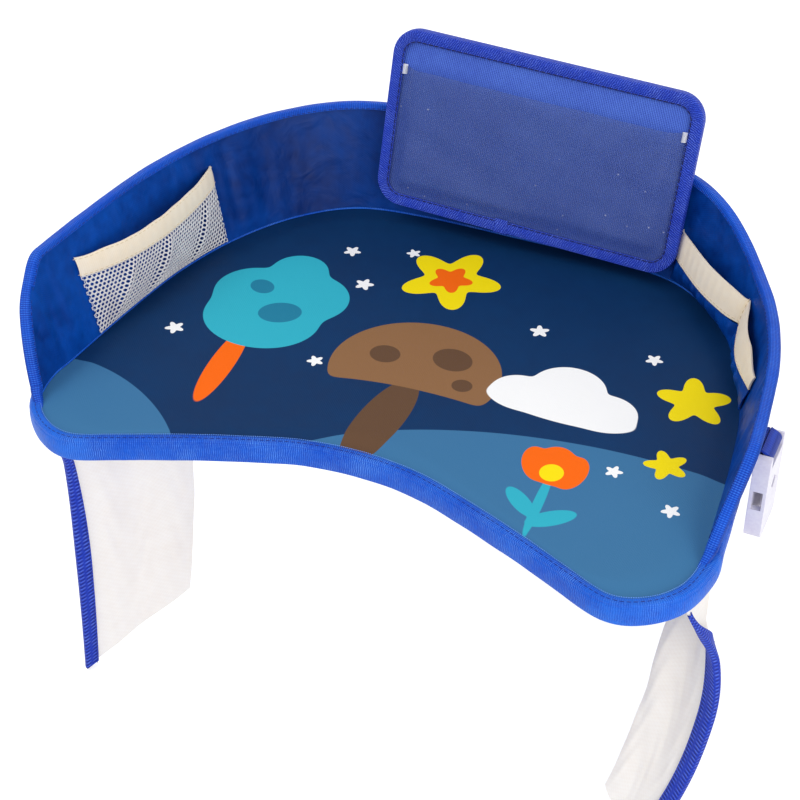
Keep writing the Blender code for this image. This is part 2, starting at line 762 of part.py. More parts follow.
def holder_stand_off():
    """Distance from the wall's middle to the holder's back: its ends clear the wall's curve and top tape."""
    end_x = abs(HOLDER_CENTRE_X) + HOLDER_WIDTH / 2 + HOLDER_BINDING_CROWN
    strip_y, end_y = (OUTLINE.back_y(x) for x in (STRIP_HALF_LENGTH, end_x))
    lip = HOLDER_TAPE_THICKNESS + FIT_GAP + WALL_BINDING_TAPE + WALL_BINDING_SLACK
    return (strip_y - end_y) * math.cos(WALL_LEAN_ANGLE) + lip + HOLDER_WALL_CLEARANCE


def strip_thickness():
    """Each of the two strips fills half of the distance between wall and holder."""
    return (holder_stand_off() - 3 * FIT_GAP) / 2


def build_loop_strip():
    """The loop half of the holder's fastening, sewn flat to the back wall."""
    depth = FIT_GAP + strip_thickness() / 2

    def place(u, v):
        height = STRIP_CENTRE_HEIGHT + STRIP_WIDTH * (v - 0.5)
        return wall_point(STRIP_HALF_LENGTH * (2 * u - 1), height, depth)

    sheet("wall_loop_strip", place, STRIP_COLUMN_COUNT, 2, strip_thickness(), hook_loop())


def holder_frame():
    """World matrix of the holder's middle on its back face: X to the right, Y up, Z to the child."""
    lean, tilt = WALL_LEAN_ANGLE, HOLDER_TILT_ANGLE
    front = Vector((0.0, -math.cos(lean), math.sin(lean)))
    up = Vector((0.0, math.sin(lean), math.cos(lean)))
    right = front.cross(up) * -1.0
    x_axis = right * math.cos(tilt) + up * math.sin(tilt)
    y_axis = front.cross(x_axis)
    nearest = wall_point(STRIP_HALF_LENGTH, STRIP_CENTRE_HEIGHT, 0.0)
    on_wall = Vector(nearest) + front * holder_stand_off()
    rise = (HOLDER_CENTRE_Z - on_wall.z) / up.z
    centre = on_wall + up * rise
    centre.x = HOLDER_CENTRE_X
    rotation = Matrix((x_axis, y_axis, front)).transposed().to_4x4()
    return Matrix.Translation(centre) @ rotation


def build_holder():
    """The clear-fronted holder: two cloths on a stiffener, a film pocket, a bound edge and a hook strip."""
    frame = holder_frame()
    pivot = add_pivot("holder_pivot", frame.translation)
    cloth, core = HOLDER_CLOTH_THICKNESS, HOLDER_STIFFENER_THICKNESS
    loop = rounded_rectangle(HOLDER_WIDTH, HOLDER_HEIGHT, HOLDER_CORNER_RADIUS, HOLDER_CORNER_STEP_COUNT)
    level = 0.0
    for name, thickness, material in (
        ("holder_back_cloth", cloth, blue_cloth()),
        ("holder_stiffener", core, board()),
        ("holder_face_cloth", cloth, blue_cloth()),
    ):
        place = frame @ Matrix.Translation((0.0, 0.0, level))
        flat_plate(name, [loop], thickness, place, material, pivot)
        level += thickness + FIT_GAP
    film_level = level + WINDOW_THICKNESS / 2
    core_thickness = level + WINDOW_THICKNESS

    strip_turn = Matrix.Rotation(-HOLDER_TILT_ANGLE, 4, "Z")
    strip_centre = wall_point(0.0, STRIP_CENTRE_HEIGHT, 0.0)
    local = frame.inverted() @ Vector(strip_centre)
    strip_place = frame @ Matrix.Translation((local.x, local.y, -strip_thickness() - FIT_GAP)) @ strip_turn
    strip_loop = rounded_rectangle(
        2 * STRIP_HALF_LENGTH, STRIP_WIDTH, STRIP_CORNER_RADIUS, STRIP_CORNER_STEP_COUNT
    )
    flat_plate("holder_hook_strip", [strip_loop], strip_thickness(), strip_place, hook_loop(), pivot)

    lip = HOLDER_BINDING_DEPTH
    margin = FIT_GAP * 2
    low = -HOLDER_HEIGHT / 2 + margin
    high = HOLDER_HEIGHT / 2 - WINDOW_MOUTH_DROP

    def film_place(u, v):
        x = (u - 0.5) * (HOLDER_WIDTH - 2 * margin)
        y = low + (high - low) * v
        inset = max(HOLDER_CORNER_RADIUS - margin - (y - low), 0.0)
        inset = HOLDER_CORNER_RADIUS - math.sqrt(max(HOLDER_CORNER_RADIUS ** 2 - inset ** 2, 0.0))
        x = math.copysign(max(abs(x) - inset * abs(2 * u - 1), 0.0), x)
        side = smooth_step((HOLDER_WIDTH / 2 - inset - abs(x) - lip) / WINDOW_RISE_RUN)
        foot = smooth_step((y - low - lip) / WINDOW_RISE_RUN)
        z = film_level + (WINDOW_POCKET_DEPTH - film_level) * side * foot
        return frame @ Vector((x, y, z))

    sheet(
        "holder_window", film_place, WINDOW_COLUMN_COUNT, WINDOW_ROW_COUNT, WINDOW_THICKNESS,
        clear_film(), parent=pivot,
    )

    section = edge_section(
        core_thickness, HOLDER_TAPE_THICKNESS, HOLDER_BINDING_DEPTH, FIT_GAP, HOLDER_BINDING_CROWN, FIT_GAP
    )
    turn = frame.to_3x3()
    across = np.array(turn @ Vector((0.0, 0.0, 1.0)))
    rail = []
    count = len(loop)
    for index, (x, y) in enumerate(loop):
        ahead, behind = loop[(index + 1) % count], loop[index - 1]
        along = Vector((ahead[0] - behind[0], ahead[1] - behind[1], 0.0)).normalized()
        into = Vector((-along.y, along.x, 0.0))
        point = frame @ Vector((x, y, core_thickness / 2))
        rail.append((np.array(point), np.array(turn @ into), across))
    bind_edge("holder_binding", rail, lambda index: section, blue_tape(), closed=True, parent=pivot)


def flap_place(side, u, v):
    """A place on a hanging flap: u from its bound front edge to the rear, v from the seam down."""
    top = np.array([side * PANEL_HALF_WIDTH, flap_seam_front_y() + FLAP_SEAM_LENGTH * u, flap_seam_z()])
    length = FLAP_FRONT_LENGTH + (FLAP_REAR_LENGTH - FLAP_FRONT_LENGTH) * u
    if side > 0:
        front_drift, rear_drift = RIGHT_FLAP_FRONT_DRIFT, RIGHT_FLAP_REAR_DRIFT
        rear_shift, swing = RIGHT_FLAP_REAR_SHIFT, RIGHT_FLAP_SWING
    else:
        front_drift, rear_drift = LEFT_FLAP_FRONT_DRIFT, LEFT_FLAP_REAR_DRIFT
        rear_shift, swing = LEFT_FLAP_REAR_SHIFT, LEFT_FLAP_SWING
    drift = front_drift - (front_drift + rear_drift) * u
    shift = FLAP_FRONT_SHIFT - (FLAP_FRONT_SHIFT + rear_shift) * u
    turn = math.sin(math.pi / 2 * min(v / FLAP_TURN_SHARE, 1.0))
    past_tape = u - FLAP_FLAT_SHARE * FLAP_TAPE_WIDTH / FLAP_SEAM_LENGTH
    fold = (1.0 - math.cos(2 * math.pi * FLAP_FOLD_COUNT * max(past_tape, 0.0))) * FLAP_FOLD_DEPTH * turn
    out = drift * turn + swing * v * v + fold * FLAP_FOLD_OUT_SHARE
    return top + np.array([side * out, shift * turn + fold * FLAP_FOLD_ALONG_SHARE, -length * v])


def flap_seam_front_y():
    return TOE_LINE_Y + FLAP_SEAM_TOE_DISTANCE


def flap_seam_z():
    return RIM_BOTTOM_Z - FLAP_SEAM_GAP


def build_flap(side_name, side):
    """A white cloth flap that hangs from a seam under the rim, with its front edge bound in tape."""
    middle = flap_seam_front_y() + FLAP_SEAM_LENGTH / 2
    pivot = add_pivot(side_name + "_flap_seam", (side * PANEL_HALF_WIDTH, middle, flap_seam_z()))

    def cloth_place(u, v):
        return flap_place(side, u, v)

    cloth = sheet(
        side_name + "_flap_cloth", cloth_place, FLAP_COLUMN_COUNT, FLAP_ROW_COUNT, FLAP_CLOTH_THICKNESS,
        white_cloth(), parent=pivot,
    )
    group = cloth.vertex_groups.new(name="seam")
    for index, vertex in enumerate(cloth.data.vertices):
        below = -vertex.co.z / FLAP_FRONT_LENGTH
        group.add([index], 0.0 if below < 1 / (2 * FLAP_ROW_COUNT) else 1.0, "REPLACE")
    cloth.modifiers["thickness"].vertex_group = "seam"
    cloth.modifiers["thickness"].thickness_vertex_group = FLAP_SEAM_THICKNESS_SHARE

    rail = []
    half_tape = FLAP_CLOTH_THICKNESS / 2 + FLAP_TAPE_THICKNESS + FLAP_TAPE_SLACK
    first = FLAP_TAPE_START_SHARE * half_tape / FLAP_FRONT_LENGTH
    for step in range(FLAP_ROW_COUNT + 1):
        v = max(first, step / FLAP_ROW_COUNT)
        point = flap_place(side, 0.0, v)
        above = flap_place(side, 0.0, max(v - 1 / FLAP_ROW_COUNT, 0.0))
        below = flap_place(side, 0.0, min(v + 1 / FLAP_ROW_COUNT, 1.0))
        along = unit(below - above)
        into = unit(flap_place(side, 1 / FLAP_COLUMN_COUNT, v) - point)
        rail.append((point, into, unit(np.cross(along, into))))
    section = edge_section(
        FLAP_CLOTH_THICKNESS, FLAP_TAPE_THICKNESS, FLAP_TAPE_WIDTH, FLAP_TAPE_SLACK, FLAP_TAPE_CROWN, FIT_GAP
    )
    bind_edge(side_name + "_flap_binding", rail, lambda index: section, blue_tape(), parent=pivot)


def upright_frame(place, outward):
    """A matrix whose X runs along the wall, Y up and Z outward from the tray."""
    z_axis = Vector((outward, 0.0, 0.0))
    y_axis = Vector((0.0, 0.0, 1.0))
    x_axis = y_axis.cross(z_axis)
    return Matrix.Translation(place) @ Matrix((x_axis, y_axis, z_axis)).transposed().to_4x4()


def tab_length(side):
    """Length along the panel's edge at which a side's tab is sewn."""
    return side * OUTLINE.length_at_y(TOE_LINE_Y + TAB_TOE_DISTANCE)


def wall_face_reach(side, height, width):
    """How far out the wall's outer face stands over a width along the wall at the tabs."""
    middle = tab_length(side)
    ends = [middle + share * width / 2 for share in (-1, 1)]
    level = height + WALL_TOTAL_THICKNESS * math.sin(wall_lean(middle))
    return max(side * wall_point(end, level, -WALL_TOTAL_THICKNESS)[0] for end in ends)


def bar_place(side, drop, half_thickness):
    """Middle of a buckle's webbing bar, hung clear of the wall's outer face."""
    length = tab_length(side)
    height = wall_height(length) - drop
    reach = wall_face_reach(side, height + BUCKLE_CHEEK_HEIGHT, BUCKLE_WIDTH)
    out = reach + max(half_thickness, tab_outer_radius()) + FIT_GAP
    return Vector((side * out, OUTLINE.point(length)[1], WALL_FOOT_Z + height))


def tab_inner_radius():
    return BUCKLE_BAR_THICKNESS / math.sqrt(2) + BUCKLE_BAR_CLEARANCE


def tab_outer_radius():
    return tab_inner_radius() + WEBBING_THICKNESS


def build_tab(name, side, drop, length):
    """A webbing tab: both legs sewn to the wall's outside, and a loop round the buckle's bar."""
    bar = bar_place(side, drop, BUCKLE_THICKNESS / 2)
    top_height = wall_height(tab_length(side)) - drop + length
    top_out = wall_face_reach(side, top_height, WEBBING_WIDTH) + FIT_GAP - side * bar.x
    top_up = WALL_FOOT_Z + top_height - bar.z
    radius = tab_outer_radius()
    distance = math.hypot(top_out, top_up)
    direction = math.atan2(top_up, top_out)
    spread = math.acos(radius / distance)
    start, end = direction + spread, direction - spread + 2 * math.pi
    loop = [(top_out + 2 * WEBBING_THICKNESS, top_up), (top_out, top_up)]
    for step in range(TAB_ROUND_STEP_COUNT + 1):
        angle = start + (end - start) * step / TAB_ROUND_STEP_COUNT
        loop.append((radius * math.cos(angle), radius * math.sin(angle)))
    hole = []
    for step in range(TAB_ROUND_STEP_COUNT):
        angle = 2 * math.pi * step / TAB_ROUND_STEP_COUNT
        hole.append((tab_inner_radius() * math.cos(angle), tab_inner_radius() * math.sin(angle)))
    x_axis, y_axis = Vector((side, 0.0, 0.0)), Vector((0.0, 0.0, 1.0))
    z_axis = x_axis.cross(y_axis)
    start_place = bar - z_axis * WEBBING_WIDTH / 2
    matrix = Matrix.Translation(start_place) @ Matrix((x_axis, y_axis, z_axis)).transposed().to_4x4()
    flat_plate(name, [loop, hole], WEBBING_WIDTH, matrix, blue_tape())
    return bar


def build_buckle_socket(bar):
    """The receiving half: a hollow body with side windows, a diamond sight hole and a webbing bar."""
    pivot = add_pivot("buckle_socket_bar", bar)
    frame = upright_frame(bar, 1.0)
    low = BUCKLE_CHEEK_HEIGHT - BUCKLE_LENGTH
    centre = (0.0, (BUCKLE_CHEEK_HEIGHT + low) / 2)
    loop = rounded_rectangle(
        BUCKLE_WIDTH, BUCKLE_LENGTH, BUCKLE_CORNER_RADIUS, BUCKLE_CORNER_STEP_COUNT, centre
    )
    place = frame @ Matrix.Translation((0.0, 0.0, -BUCKLE_THICKNESS / 2))
    body = flat_plate("buckle_socket", [loop], BUCKLE_THICKNESS, place, white_plastic(), pivot)
    round_edges(body, BUCKLE_EDGE_ROUNDING)
    half_bar = BUCKLE_BAR_THICKNESS / 2
    slot_width = WEBBING_WIDTH + 2 * BUCKLE_SLOT_CLEARANCE
    webbing_room = tab_outer_radius() + FIT_GAP * 2
    deep = 2 * BUCKLE_THICKNESS
    slot_height = webbing_room - half_bar
    cut_box(body, "cutter_slot", (slot_width, slot_height, deep),
            frame @ Matrix.Translation((0.0, -half_bar - slot_height / 2, 0.0)))
    head = BUCKLE_CHEEK_HEIGHT - half_bar + CUT_OVERRUN
    cut_box(body, "cutter_head", (slot_width, head, deep),
            frame @ Matrix.Translation((0.0, half_bar + head / 2, 0.0)))
    for face in (-1, 1):
        shave = BUCKLE_THICKNESS / 2 - half_bar + CUT_OVERRUN
        size = (slot_width - 2 * FIT_GAP, BUCKLE_BAR_THICKNESS + slot_height, shave)
        middle = Matrix.Translation((0.0, 0.0, face * (half_bar + shave / 2)))
        cut_box(body, "cutter_bar_face", size, frame @ middle)
    mouth = SOCKET_DEPTH + CUT_OVERRUN
    cut_box(body, "cutter_socket", (SOCKET_WIDTH, mouth, SOCKET_HEIGHT),
            frame @ Matrix.Translation((0.0, low + SOCKET_DEPTH - mouth / 2, 0.0)))
    across = BUCKLE_WIDTH + 2 * CUT_OVERRUN
    cut_box(body, "cutter_side_windows", (across, SOCKET_SIDE_WINDOW_HEIGHT, SOCKET_HEIGHT),
            frame @ Matrix.Translation((0.0, -SOCKET_SIDE_WINDOW_DROP - SOCKET_SIDE_WINDOW_HEIGHT / 2, 0.0)))
    diamond = Matrix.Rotation(math.radians(45.0), 4, "Z")
    side = SOCKET_DIAMOND_WIDTH / math.sqrt(2)
    cut_box(body, "cutter_diamond", (side, side, deep),
            frame @ Matrix.Translation((0.0, -SOCKET_DIAMOND_DROP, 0.0)) @ diamond)


def plug_outline():
    """Half outline of the plug, mirrored: body, springy side prong with its catch, and middle guide."""
    half = BUCKLE_WIDTH / 2
    low = BUCKLE_CHEEK_HEIGHT - PLUG_BODY_LENGTH
    tip = low - PLUG_PRONG_LENGTH
    catch = SOCKET_WIDTH / 2
    inner = catch - PLUG_PRONG_WIDTH
    guide = PLUG_GUIDE_WIDTH / 2
    right = [
        (half - BUCKLE_CORNER_RADIUS, BUCKLE_CHEEK_HEIGHT),
        (half, BUCKLE_CHEEK_HEIGHT - BUCKLE_CORNER_RADIUS),
        (half, low),
        (catch - FIT_GAP * 2, low - PLUG_CATCH_DEPTH / 6),
        (catch - PLUG_CATCH_DEPTH / 2, low - PLUG_PRONG_LENGTH / 3),
        (catch - FIT_GAP, tip + PLUG_TIP_RUN + PLUG_CATCH_DEPTH),
        (catch - FIT_GAP, tip + PLUG_TIP_RUN),
        (inner + PLUG_CATCH_DEPTH / 2, tip),
        (inner - PLUG_CATCH_DEPTH / 2, tip + PLUG_CATCH_DEPTH),
        (inner, low - PLUG_CATCH_DEPTH),
        (guide + PLUG_CATCH_DEPTH / 2, low - PLUG_CATCH_DEPTH / 3),
        (guide, low - PLUG_CATCH_DEPTH),
        (guide * PLUG_GUIDE_TIP_SHARE, tip + PLUG_TIP_RUN),
    ]
    left = [(-x, y) for x, y in reversed(right)]
    return right + left


def build_buckle_plug(bar):
    """The inserted half, hung from the left tab."""
    pivot = add_pivot("buckle_plug_bar", bar)
    frame = upright_frame(bar, -1.0)
    place = frame @ Matrix.Translation((0.0, 0.0, -PLUG_THICKNESS / 2))
    body = flat_plate("buckle_plug", [plug_outline()], PLUG_THICKNESS, place, white_plastic(), pivot)
    half_bar = BUCKLE_BAR_THICKNESS / 2
    slot_width = WEBBING_WIDTH + 2 * BUCKLE_SLOT_CLEARANCE
    webbing_room = tab_outer_radius() + FIT_GAP * 2
    slot_height = webbing_room - half_bar
    deep = 2 * BUCKLE_THICKNESS
    cut_box(body, "cutter_plug_slot", (slot_width, slot_height, deep),
            frame @ Matrix.Translation((0.0, -half_bar - slot_height / 2, 0.0)))
    head = BUCKLE_CHEEK_HEIGHT - half_bar + CUT_OVERRUN
    cut_box(body, "cutter_plug_head", (slot_width, head, deep),
            frame @ Matrix.Translation((0.0, half_bar + head / 2, 0.0)))
    for face in (-1, 1):
        shave = PLUG_THICKNESS / 2 - half_bar + CUT_OVERRUN
        size = (slot_width - 2 * FIT_GAP, BUCKLE_BAR_THICKNESS + slot_height, shave)
        middle = Matrix.Translation((0.0, 0.0, face * (half_bar + shave / 2)))
        cut_box(body, "cutter_plug_bar_face", size, frame @ middle)
    round_edges(body, PLUG_EDGE_ROUNDING)


def build_fastening():
    binding_room = WALL_BINDING_DEPTH + WALL_TOTAL_THICKNESS / 2 + WALL_BINDING_TAPE
    right_bar = build_tab("right_webbing_tab", 1, RIGHT_TAB_DROP, RIGHT_TAB_DROP - binding_room)
    build_buckle_socket(right_bar)
    left_bar = build_tab("left_webbing_tab", -1, LEFT_TAB_DROP, LEFT_TAB_LENGTH)
    build_buckle_plug(left_bar)


def build_tray():
    build_board()
    build_rim()
    build_wall()
    build_net_pocket()
    build_pouch()
    build_loop_strip()
    build_holder()
    build_flap("left", -1)
    build_flap("right", 1)
    build_fastening()


build_tray()
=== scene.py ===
"""Looks of a car seat tray table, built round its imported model. Metres, +Z up, the child on the -Y side."""
import math
from collections import namedtuple

import bmesh
import bpy
import numpy as np
from mathutils import Matrix, Vector


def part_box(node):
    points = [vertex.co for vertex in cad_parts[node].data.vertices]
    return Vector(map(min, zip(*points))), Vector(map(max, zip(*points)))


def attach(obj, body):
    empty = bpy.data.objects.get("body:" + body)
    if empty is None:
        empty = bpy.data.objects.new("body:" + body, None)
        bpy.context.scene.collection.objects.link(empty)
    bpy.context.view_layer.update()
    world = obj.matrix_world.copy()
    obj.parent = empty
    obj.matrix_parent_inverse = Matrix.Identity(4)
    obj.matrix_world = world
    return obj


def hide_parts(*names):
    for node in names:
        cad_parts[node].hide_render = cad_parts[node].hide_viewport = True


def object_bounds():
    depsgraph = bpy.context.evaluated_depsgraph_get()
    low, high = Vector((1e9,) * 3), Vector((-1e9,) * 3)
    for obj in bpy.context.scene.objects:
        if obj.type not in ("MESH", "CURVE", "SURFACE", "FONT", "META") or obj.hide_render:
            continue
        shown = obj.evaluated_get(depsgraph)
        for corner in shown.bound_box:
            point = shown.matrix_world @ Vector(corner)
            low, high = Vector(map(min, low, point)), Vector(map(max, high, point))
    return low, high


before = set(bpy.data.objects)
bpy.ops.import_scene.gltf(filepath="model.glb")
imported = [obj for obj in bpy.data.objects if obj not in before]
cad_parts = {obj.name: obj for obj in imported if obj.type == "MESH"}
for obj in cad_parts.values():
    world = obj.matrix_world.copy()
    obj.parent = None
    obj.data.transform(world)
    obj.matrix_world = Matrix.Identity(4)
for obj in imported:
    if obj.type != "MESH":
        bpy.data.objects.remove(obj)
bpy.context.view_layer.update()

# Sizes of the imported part
PANEL_HALF_WIDTH = 0.1905
PANEL_DEPTH = 0.2775
TOE_LINE_Y = -0.100
OUTLINE_SHARES = (
    (0.0, 1.0), (0.31, 0.998), (0.55, 0.972), (0.72, 0.882), (0.845, 0.745), (0.925, 0.58),
    (0.965, 0.40), (0.99, 0.22), (1.0, 0.145), (0.975, 0.07), (0.905, 0.018), (0.81, 0.0),
    (0.68, 0.035), (0.53, 0.08), (0.36, 0.125), (0.18, 0.165), (0.0, 0.178),
)
FIT_GAP = 0.0003
BASE_TOP_Z = 0.0041
FOAM_FOOT_Z = 0.0044
BOARD_TOP_Z = 0.012
BOARD_EDGE_REACH = 0.0025
RIM_TAPE_THICKNESS = 0.001
RIM_FRONT_REACH = 0.0055
RIM_SIDE_REACH = 0.0085
RIM_FLAT_REACH = 0.0045
RIM_REACH_RUN = 0.048
RIM_TOP_Z = BOARD_TOP_Z + FIT_GAP + RIM_TAPE_THICKNESS
RIM_BOTTOM_Z = -FIT_GAP - RIM_TAPE_THICKNESS
WALL_HEIGHT = 0.065
RIGHT_WALL_HEIGHT = 0.044
WALL_LEAN = math.radians(14.0)
RIGHT_WALL_LEAN = math.radians(15.0)
WALL_DROOP_START = 0.080
WALL_DROOP_RUN = 0.100
LEFT_WALL_END_Y = -0.076
RIGHT_WALL_END_Y = -0.052
WALL_END_RISE_RUN = 0.040
WALL_END_HEIGHT = 0.004
WALL_CORE_DEPTH = 0.0032
WALL_TOTAL_THICKNESS = 0.0044
WALL_FOOT_Z = RIM_TOP_Z + FIT_GAP + 0.001 * math.sin(RIGHT_WALL_LEAN)
TOP_TAPE_THICKNESS = 0.0010
TOP_TAPE_DEPTH = 0.0023
TOP_TAPE_CROWN = 0.0019
TOP_TAPE_SLACK = 0.0002
WALL_TAPE_LIP = 0.0016
TAPE_END_RUN = 0.012
POCKET_CLEARANCE = 0.0007
NET_START, NET_END = 0.200, 0.318
NET_HEIGHT, NET_BULGE, NET_DIP = 0.038, 0.015, 0.005
NET_HEM_HEIGHT = 0.0118
POUCH_START, POUCH_DIVISION, POUCH_END = 0.104, 0.178, 0.238
POUCH_HEIGHT, POUCH_DIP, POUCH_HEM_HEIGHT = 0.0155, 0.0025, 0.0172
POUCH_BULGES, POUCH_ROUNDNESS = (0.0112, 0.0062), (0.55, 1.0)
POUCH_PLEATS, POUCH_PLEAT_DEPTH = 12, 0.0011
POCKET_FOOT = 0.001
STRIP_HALF_LENGTH, STRIP_WIDTH, STRIP_HEIGHT = 0.045, 0.025, 0.040
HOLDER_WIDTH, HOLDER_HEIGHT, HOLDER_CORNER = 0.194, 0.110, 0.015
HOLDER_X, HOLDER_Z = 0.009, 0.0775
HOLDER_TILT = math.radians(-2.0)
HOLDER_WALL_CLEARANCE = 0.0007
HOLDER_FACE, HOLDER_TAPE, HOLDER_TAPE_DEPTH, HOLDER_CROWN = 0.0042, 0.001, 0.0065, 0.0013
FILM_THICKNESS, FILM_DEPTH, FILM_MOUTH, FILM_RISE = 0.0005, 0.0125, 0.022, 0.012
SEAM_FRONT_Y, SEAM_LENGTH, SEAM_Z = -0.064, 0.076, RIM_BOTTOM_Z - 0.0006
FLAP_FRONT_LENGTH, FLAP_REAR_LENGTH = 0.246, 0.205
FLAP_FOLD_DEPTH, FLAP_FOLDS, FLAP_TURN_SHARE = 0.0030, 1.6, 0.46
FLAP_THICKNESS, FLAP_TAPE, FLAP_TAPE_WIDTH = 0.0012, 0.0009, 0.008
WEBBING_WIDTH, WEBBING_THICKNESS = 0.020, 0.0013
RIGHT_BAR, LEFT_BAR = (0.204884, 0.001792, 0.045359), (-0.206082, 0.001792, 0.052859)

# Made for this scene
STITCH_PITCH, STITCH_LENGTH, THREAD_RADIUS = 0.0034, 0.0026, 0.00022
THREAD_LIFT, THREAD_STAND_OFF = 0.00004, 0.00006
TOP_SEAM_INSET, HOLDER_SEAM_INSET, FLAP_SEAM_INSET = 0.0007, 0.0006, 0.0014
ELASTIC_THICKNESS = 0.001
PRINT_CROWN, PRINT_CROWN_RUN = 0.0014, 0.016
NET_CELL_WIDTH, NET_CELL_HEIGHT, NET_HOLE_SHARE = 0.0027, 0.0025, 0.67
NET_YARN_THICKNESS, NET_YARN_SHARE, NET_PUCKER_DEPTH, NET_FULLNESS = 0.0006, 0.62, 0.0054, 1.12
NET_PUCKERS = ((0.26, 0.030, 1.0), (0.62, 0.035, 0.8), (0.88, 0.030, 0.7))
POUCH_COLUMNS, POUCH_FULLNESS, FILM_FULLNESS = 420, 1.25, (1.04, 1.05)
BUCKLE_BAR_HALF, WEBBING_SLACK = 0.0015, 0.0004


def link(name, data):
    """Put an object with this data into the scene."""
    thing = bpy.data.objects.new(name, data)
    bpy.context.scene.collection.objects.link(thing)
    return thing


def across_and_up(rows, columns):
    """Shares from 0 to 1 across a grid's columns and up its rows."""
    return np.linspace(0.0, 1.0, columns)[None], np.linspace(0.0, 1.0, rows)[:, None]


def at_level(plan, level):
    """Places in a plane, each given the same third coordinate."""
    return np.concatenate([plan, np.full((*plan.shape[:-1], 1), level)], -1)


def smooth_step(value):
    held = np.clip(value, 0.0, 1.0)
    return held * held * (3.0 - 2.0 * held)


def unit(vectors):
    return vectors / np.linalg.norm(vectors, axis=-1, keepdims=True)


def waver(place, seed=0.0):
    """A soft wandering value from -1 to 1 along a length in metres."""
    return (
        np.sin(place * 53.0 + seed) + np.sin(place * 97.0 + 2.1 * seed + 1.0) + np.sin(place * 171.0 + 3.7 * seed)
    ) / 3.0


# The panel's edge


class PanelEdge:
    """The panel's edge as a closed smooth curve, read by its length from the back centre, + to the right."""

    def __init__(self):
        right = [(a * PANEL_HALF_WIDTH, TOE_LINE_Y + b * PANEL_DEPTH) for a, b in OUTLINE_SHARES]
        knots = np.array(right + [(-x, y) for x, y in reversed(right[1:-1])])
        before, start, end, after = (np.roll(knots, -step, axis=0)[:, None] for step in (-1, 0, 1, 2))
        t = np.linspace(0.0, 1.0, 40, endpoint=False)[:, None]
        bend = 2 * before - 5 * start + 4 * end - after
        swing = 3 * start - before - 3 * end + after
        curve = 0.5 * (2 * start + (end - before) * t + bend * t * t + swing * t ** 3)
        self.points = np.concatenate([curve.reshape(-1, 2), knots[:1]])
        steps = np.linalg.norm(np.diff(self.points, axis=0), axis=1)
        self.lengths = np.concatenate([[0.0], np.cumsum(steps)])
        self.perimeter = self.lengths[-1]

    def point(self, length):
        wrapped = np.mod(length, self.perimeter)
        return np.stack([np.interp(wrapped, self.lengths, self.points[:, axis]) for axis in (0, 1)], -1)

    def outward(self, length):
        step = self.perimeter / len(self.lengths)
        tangent = unit(self.point(length + step) - self.point(length - step))
        return np.stack([-tangent[..., 1], tangent[..., 0]], -1)

    def offset(self, length, distance):
        return self.point(length) + self.outward(length) * np.asarray(distance)[..., None]

    def back_y(self, x):
        back = self.lengths < self.perimeter / 4
        return float(np.interp(x, self.points[back, 0], self.points[back, 1]))

    def length_at_y(self, y):
        half = self.lengths < self.perimeter / 2
        lengths, heights = self.lengths[half], self.points[half, 1]
        widest = int(np.argmin(heights))
        return float(np.interp(-y, -heights[:widest], lengths[:widest]))


EDGE = PanelEdge()
LEFT_WALL_END, RIGHT_WALL_END = EDGE.length_at_y(LEFT_WALL_END_Y), EDGE.length_at_y(RIGHT_WALL_END_Y)


def rim_reach(length):
    place = EDGE.point(length)
    inward = smooth_step((place[..., 1] - TOE_LINE_Y) / RIM_REACH_RUN)
    sideways = smooth_step(np.abs(place[..., 0]) / PANEL_HALF_WIDTH * 2 - 1)
    return RIM_FRONT_REACH + (RIM_SIDE_REACH - RIM_FRONT_REACH) * inward * sideways


def wall_slack(length):
    return smooth_step((length - WALL_DROOP_START) / WALL_DROOP_RUN)


def wall_lean(length):
    return WALL_LEAN + (RIGHT_WALL_LEAN - WALL_LEAN) * wall_slack(length)


def wall_height(length):
    full = WALL_HEIGHT + (RIGHT_WALL_HEIGHT - WALL_HEIGHT) * wall_slack(length)
    end = np.where(length > 0.0, RIGHT_WALL_END, LEFT_WALL_END)
    rise = np.clip((end - np.abs(length)) / WALL_END_RISE_RUN, 0.0, 1.0)
    return WALL_END_HEIGHT + (full - WALL_END_HEIGHT) * np.sin(math.pi / 2 * rise)


def wall_place(length, height, depth=0.0):
    """Places at heights up the wall's inner face, then depths square off it into the tray."""
    length, height, depth = np.broadcast_arrays(length, height, depth)
    lean = wall_lean(length)
    plan = EDGE.offset(length, np.tan(lean) * height - np.cos(lean) * depth)
    return np.concatenate([plan, (WALL_FOOT_Z + height + np.sin(lean) * depth)[..., None]], -1)


# Meshes


def quads(rows, columns, wrap_rows=False, wrap_columns=False):
    """Corner rows and columns of the faces between a grid's points, counted past the seam where it wraps."""
    row, column = np.meshgrid(
        np.arange(rows if wrap_rows else rows - 1), np.arange(columns if wrap_columns else columns - 1), indexing="ij"
    )
    return (
        np.stack([row, row, row + 1, row + 1], -1).reshape(-1, 4),
        np.stack([column, column + 1, column + 1, column], -1).reshape(-1, 4),
    )


def piece(name, points, faces, uvs, *look):
    """A mesh piece, its faces turned outward, with uvs in metres for each face corner.

    Here and below, a look is the piece's material, body and slot, and then the nodes that it stands for; the slot is
    not used.
    """
    mesh = bpy.data.meshes.new(name)
    mesh.from_pydata([tuple(p) for p in points], [], [tuple(int(i) for i in f) for f in faces])
    layer = mesh.uv_layers.new(name="cloth")
    layer.data.foreach_set("uv", np.concatenate([np.asarray(uv, float).reshape(-1, 2) for uv in uvs]).ravel())
    model = bmesh.new()
    model.from_mesh(mesh)
    bmesh.ops.recalc_face_normals(model, faces=model.faces)
    model.to_mesh(mesh)
    model.free()
    return shown(name, mesh, *look)


def shown(name, mesh, material, body, slot, *stands_for):
    mesh.materials.clear()
    mesh.materials.append(material)
    mesh.shade_smooth()
    mesh.set_sharp_from_angle(angle=math.radians(50.0))
    part = link(name, mesh)
    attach(part, body)
    if stands_for:
        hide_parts(*stands_for)
    return part


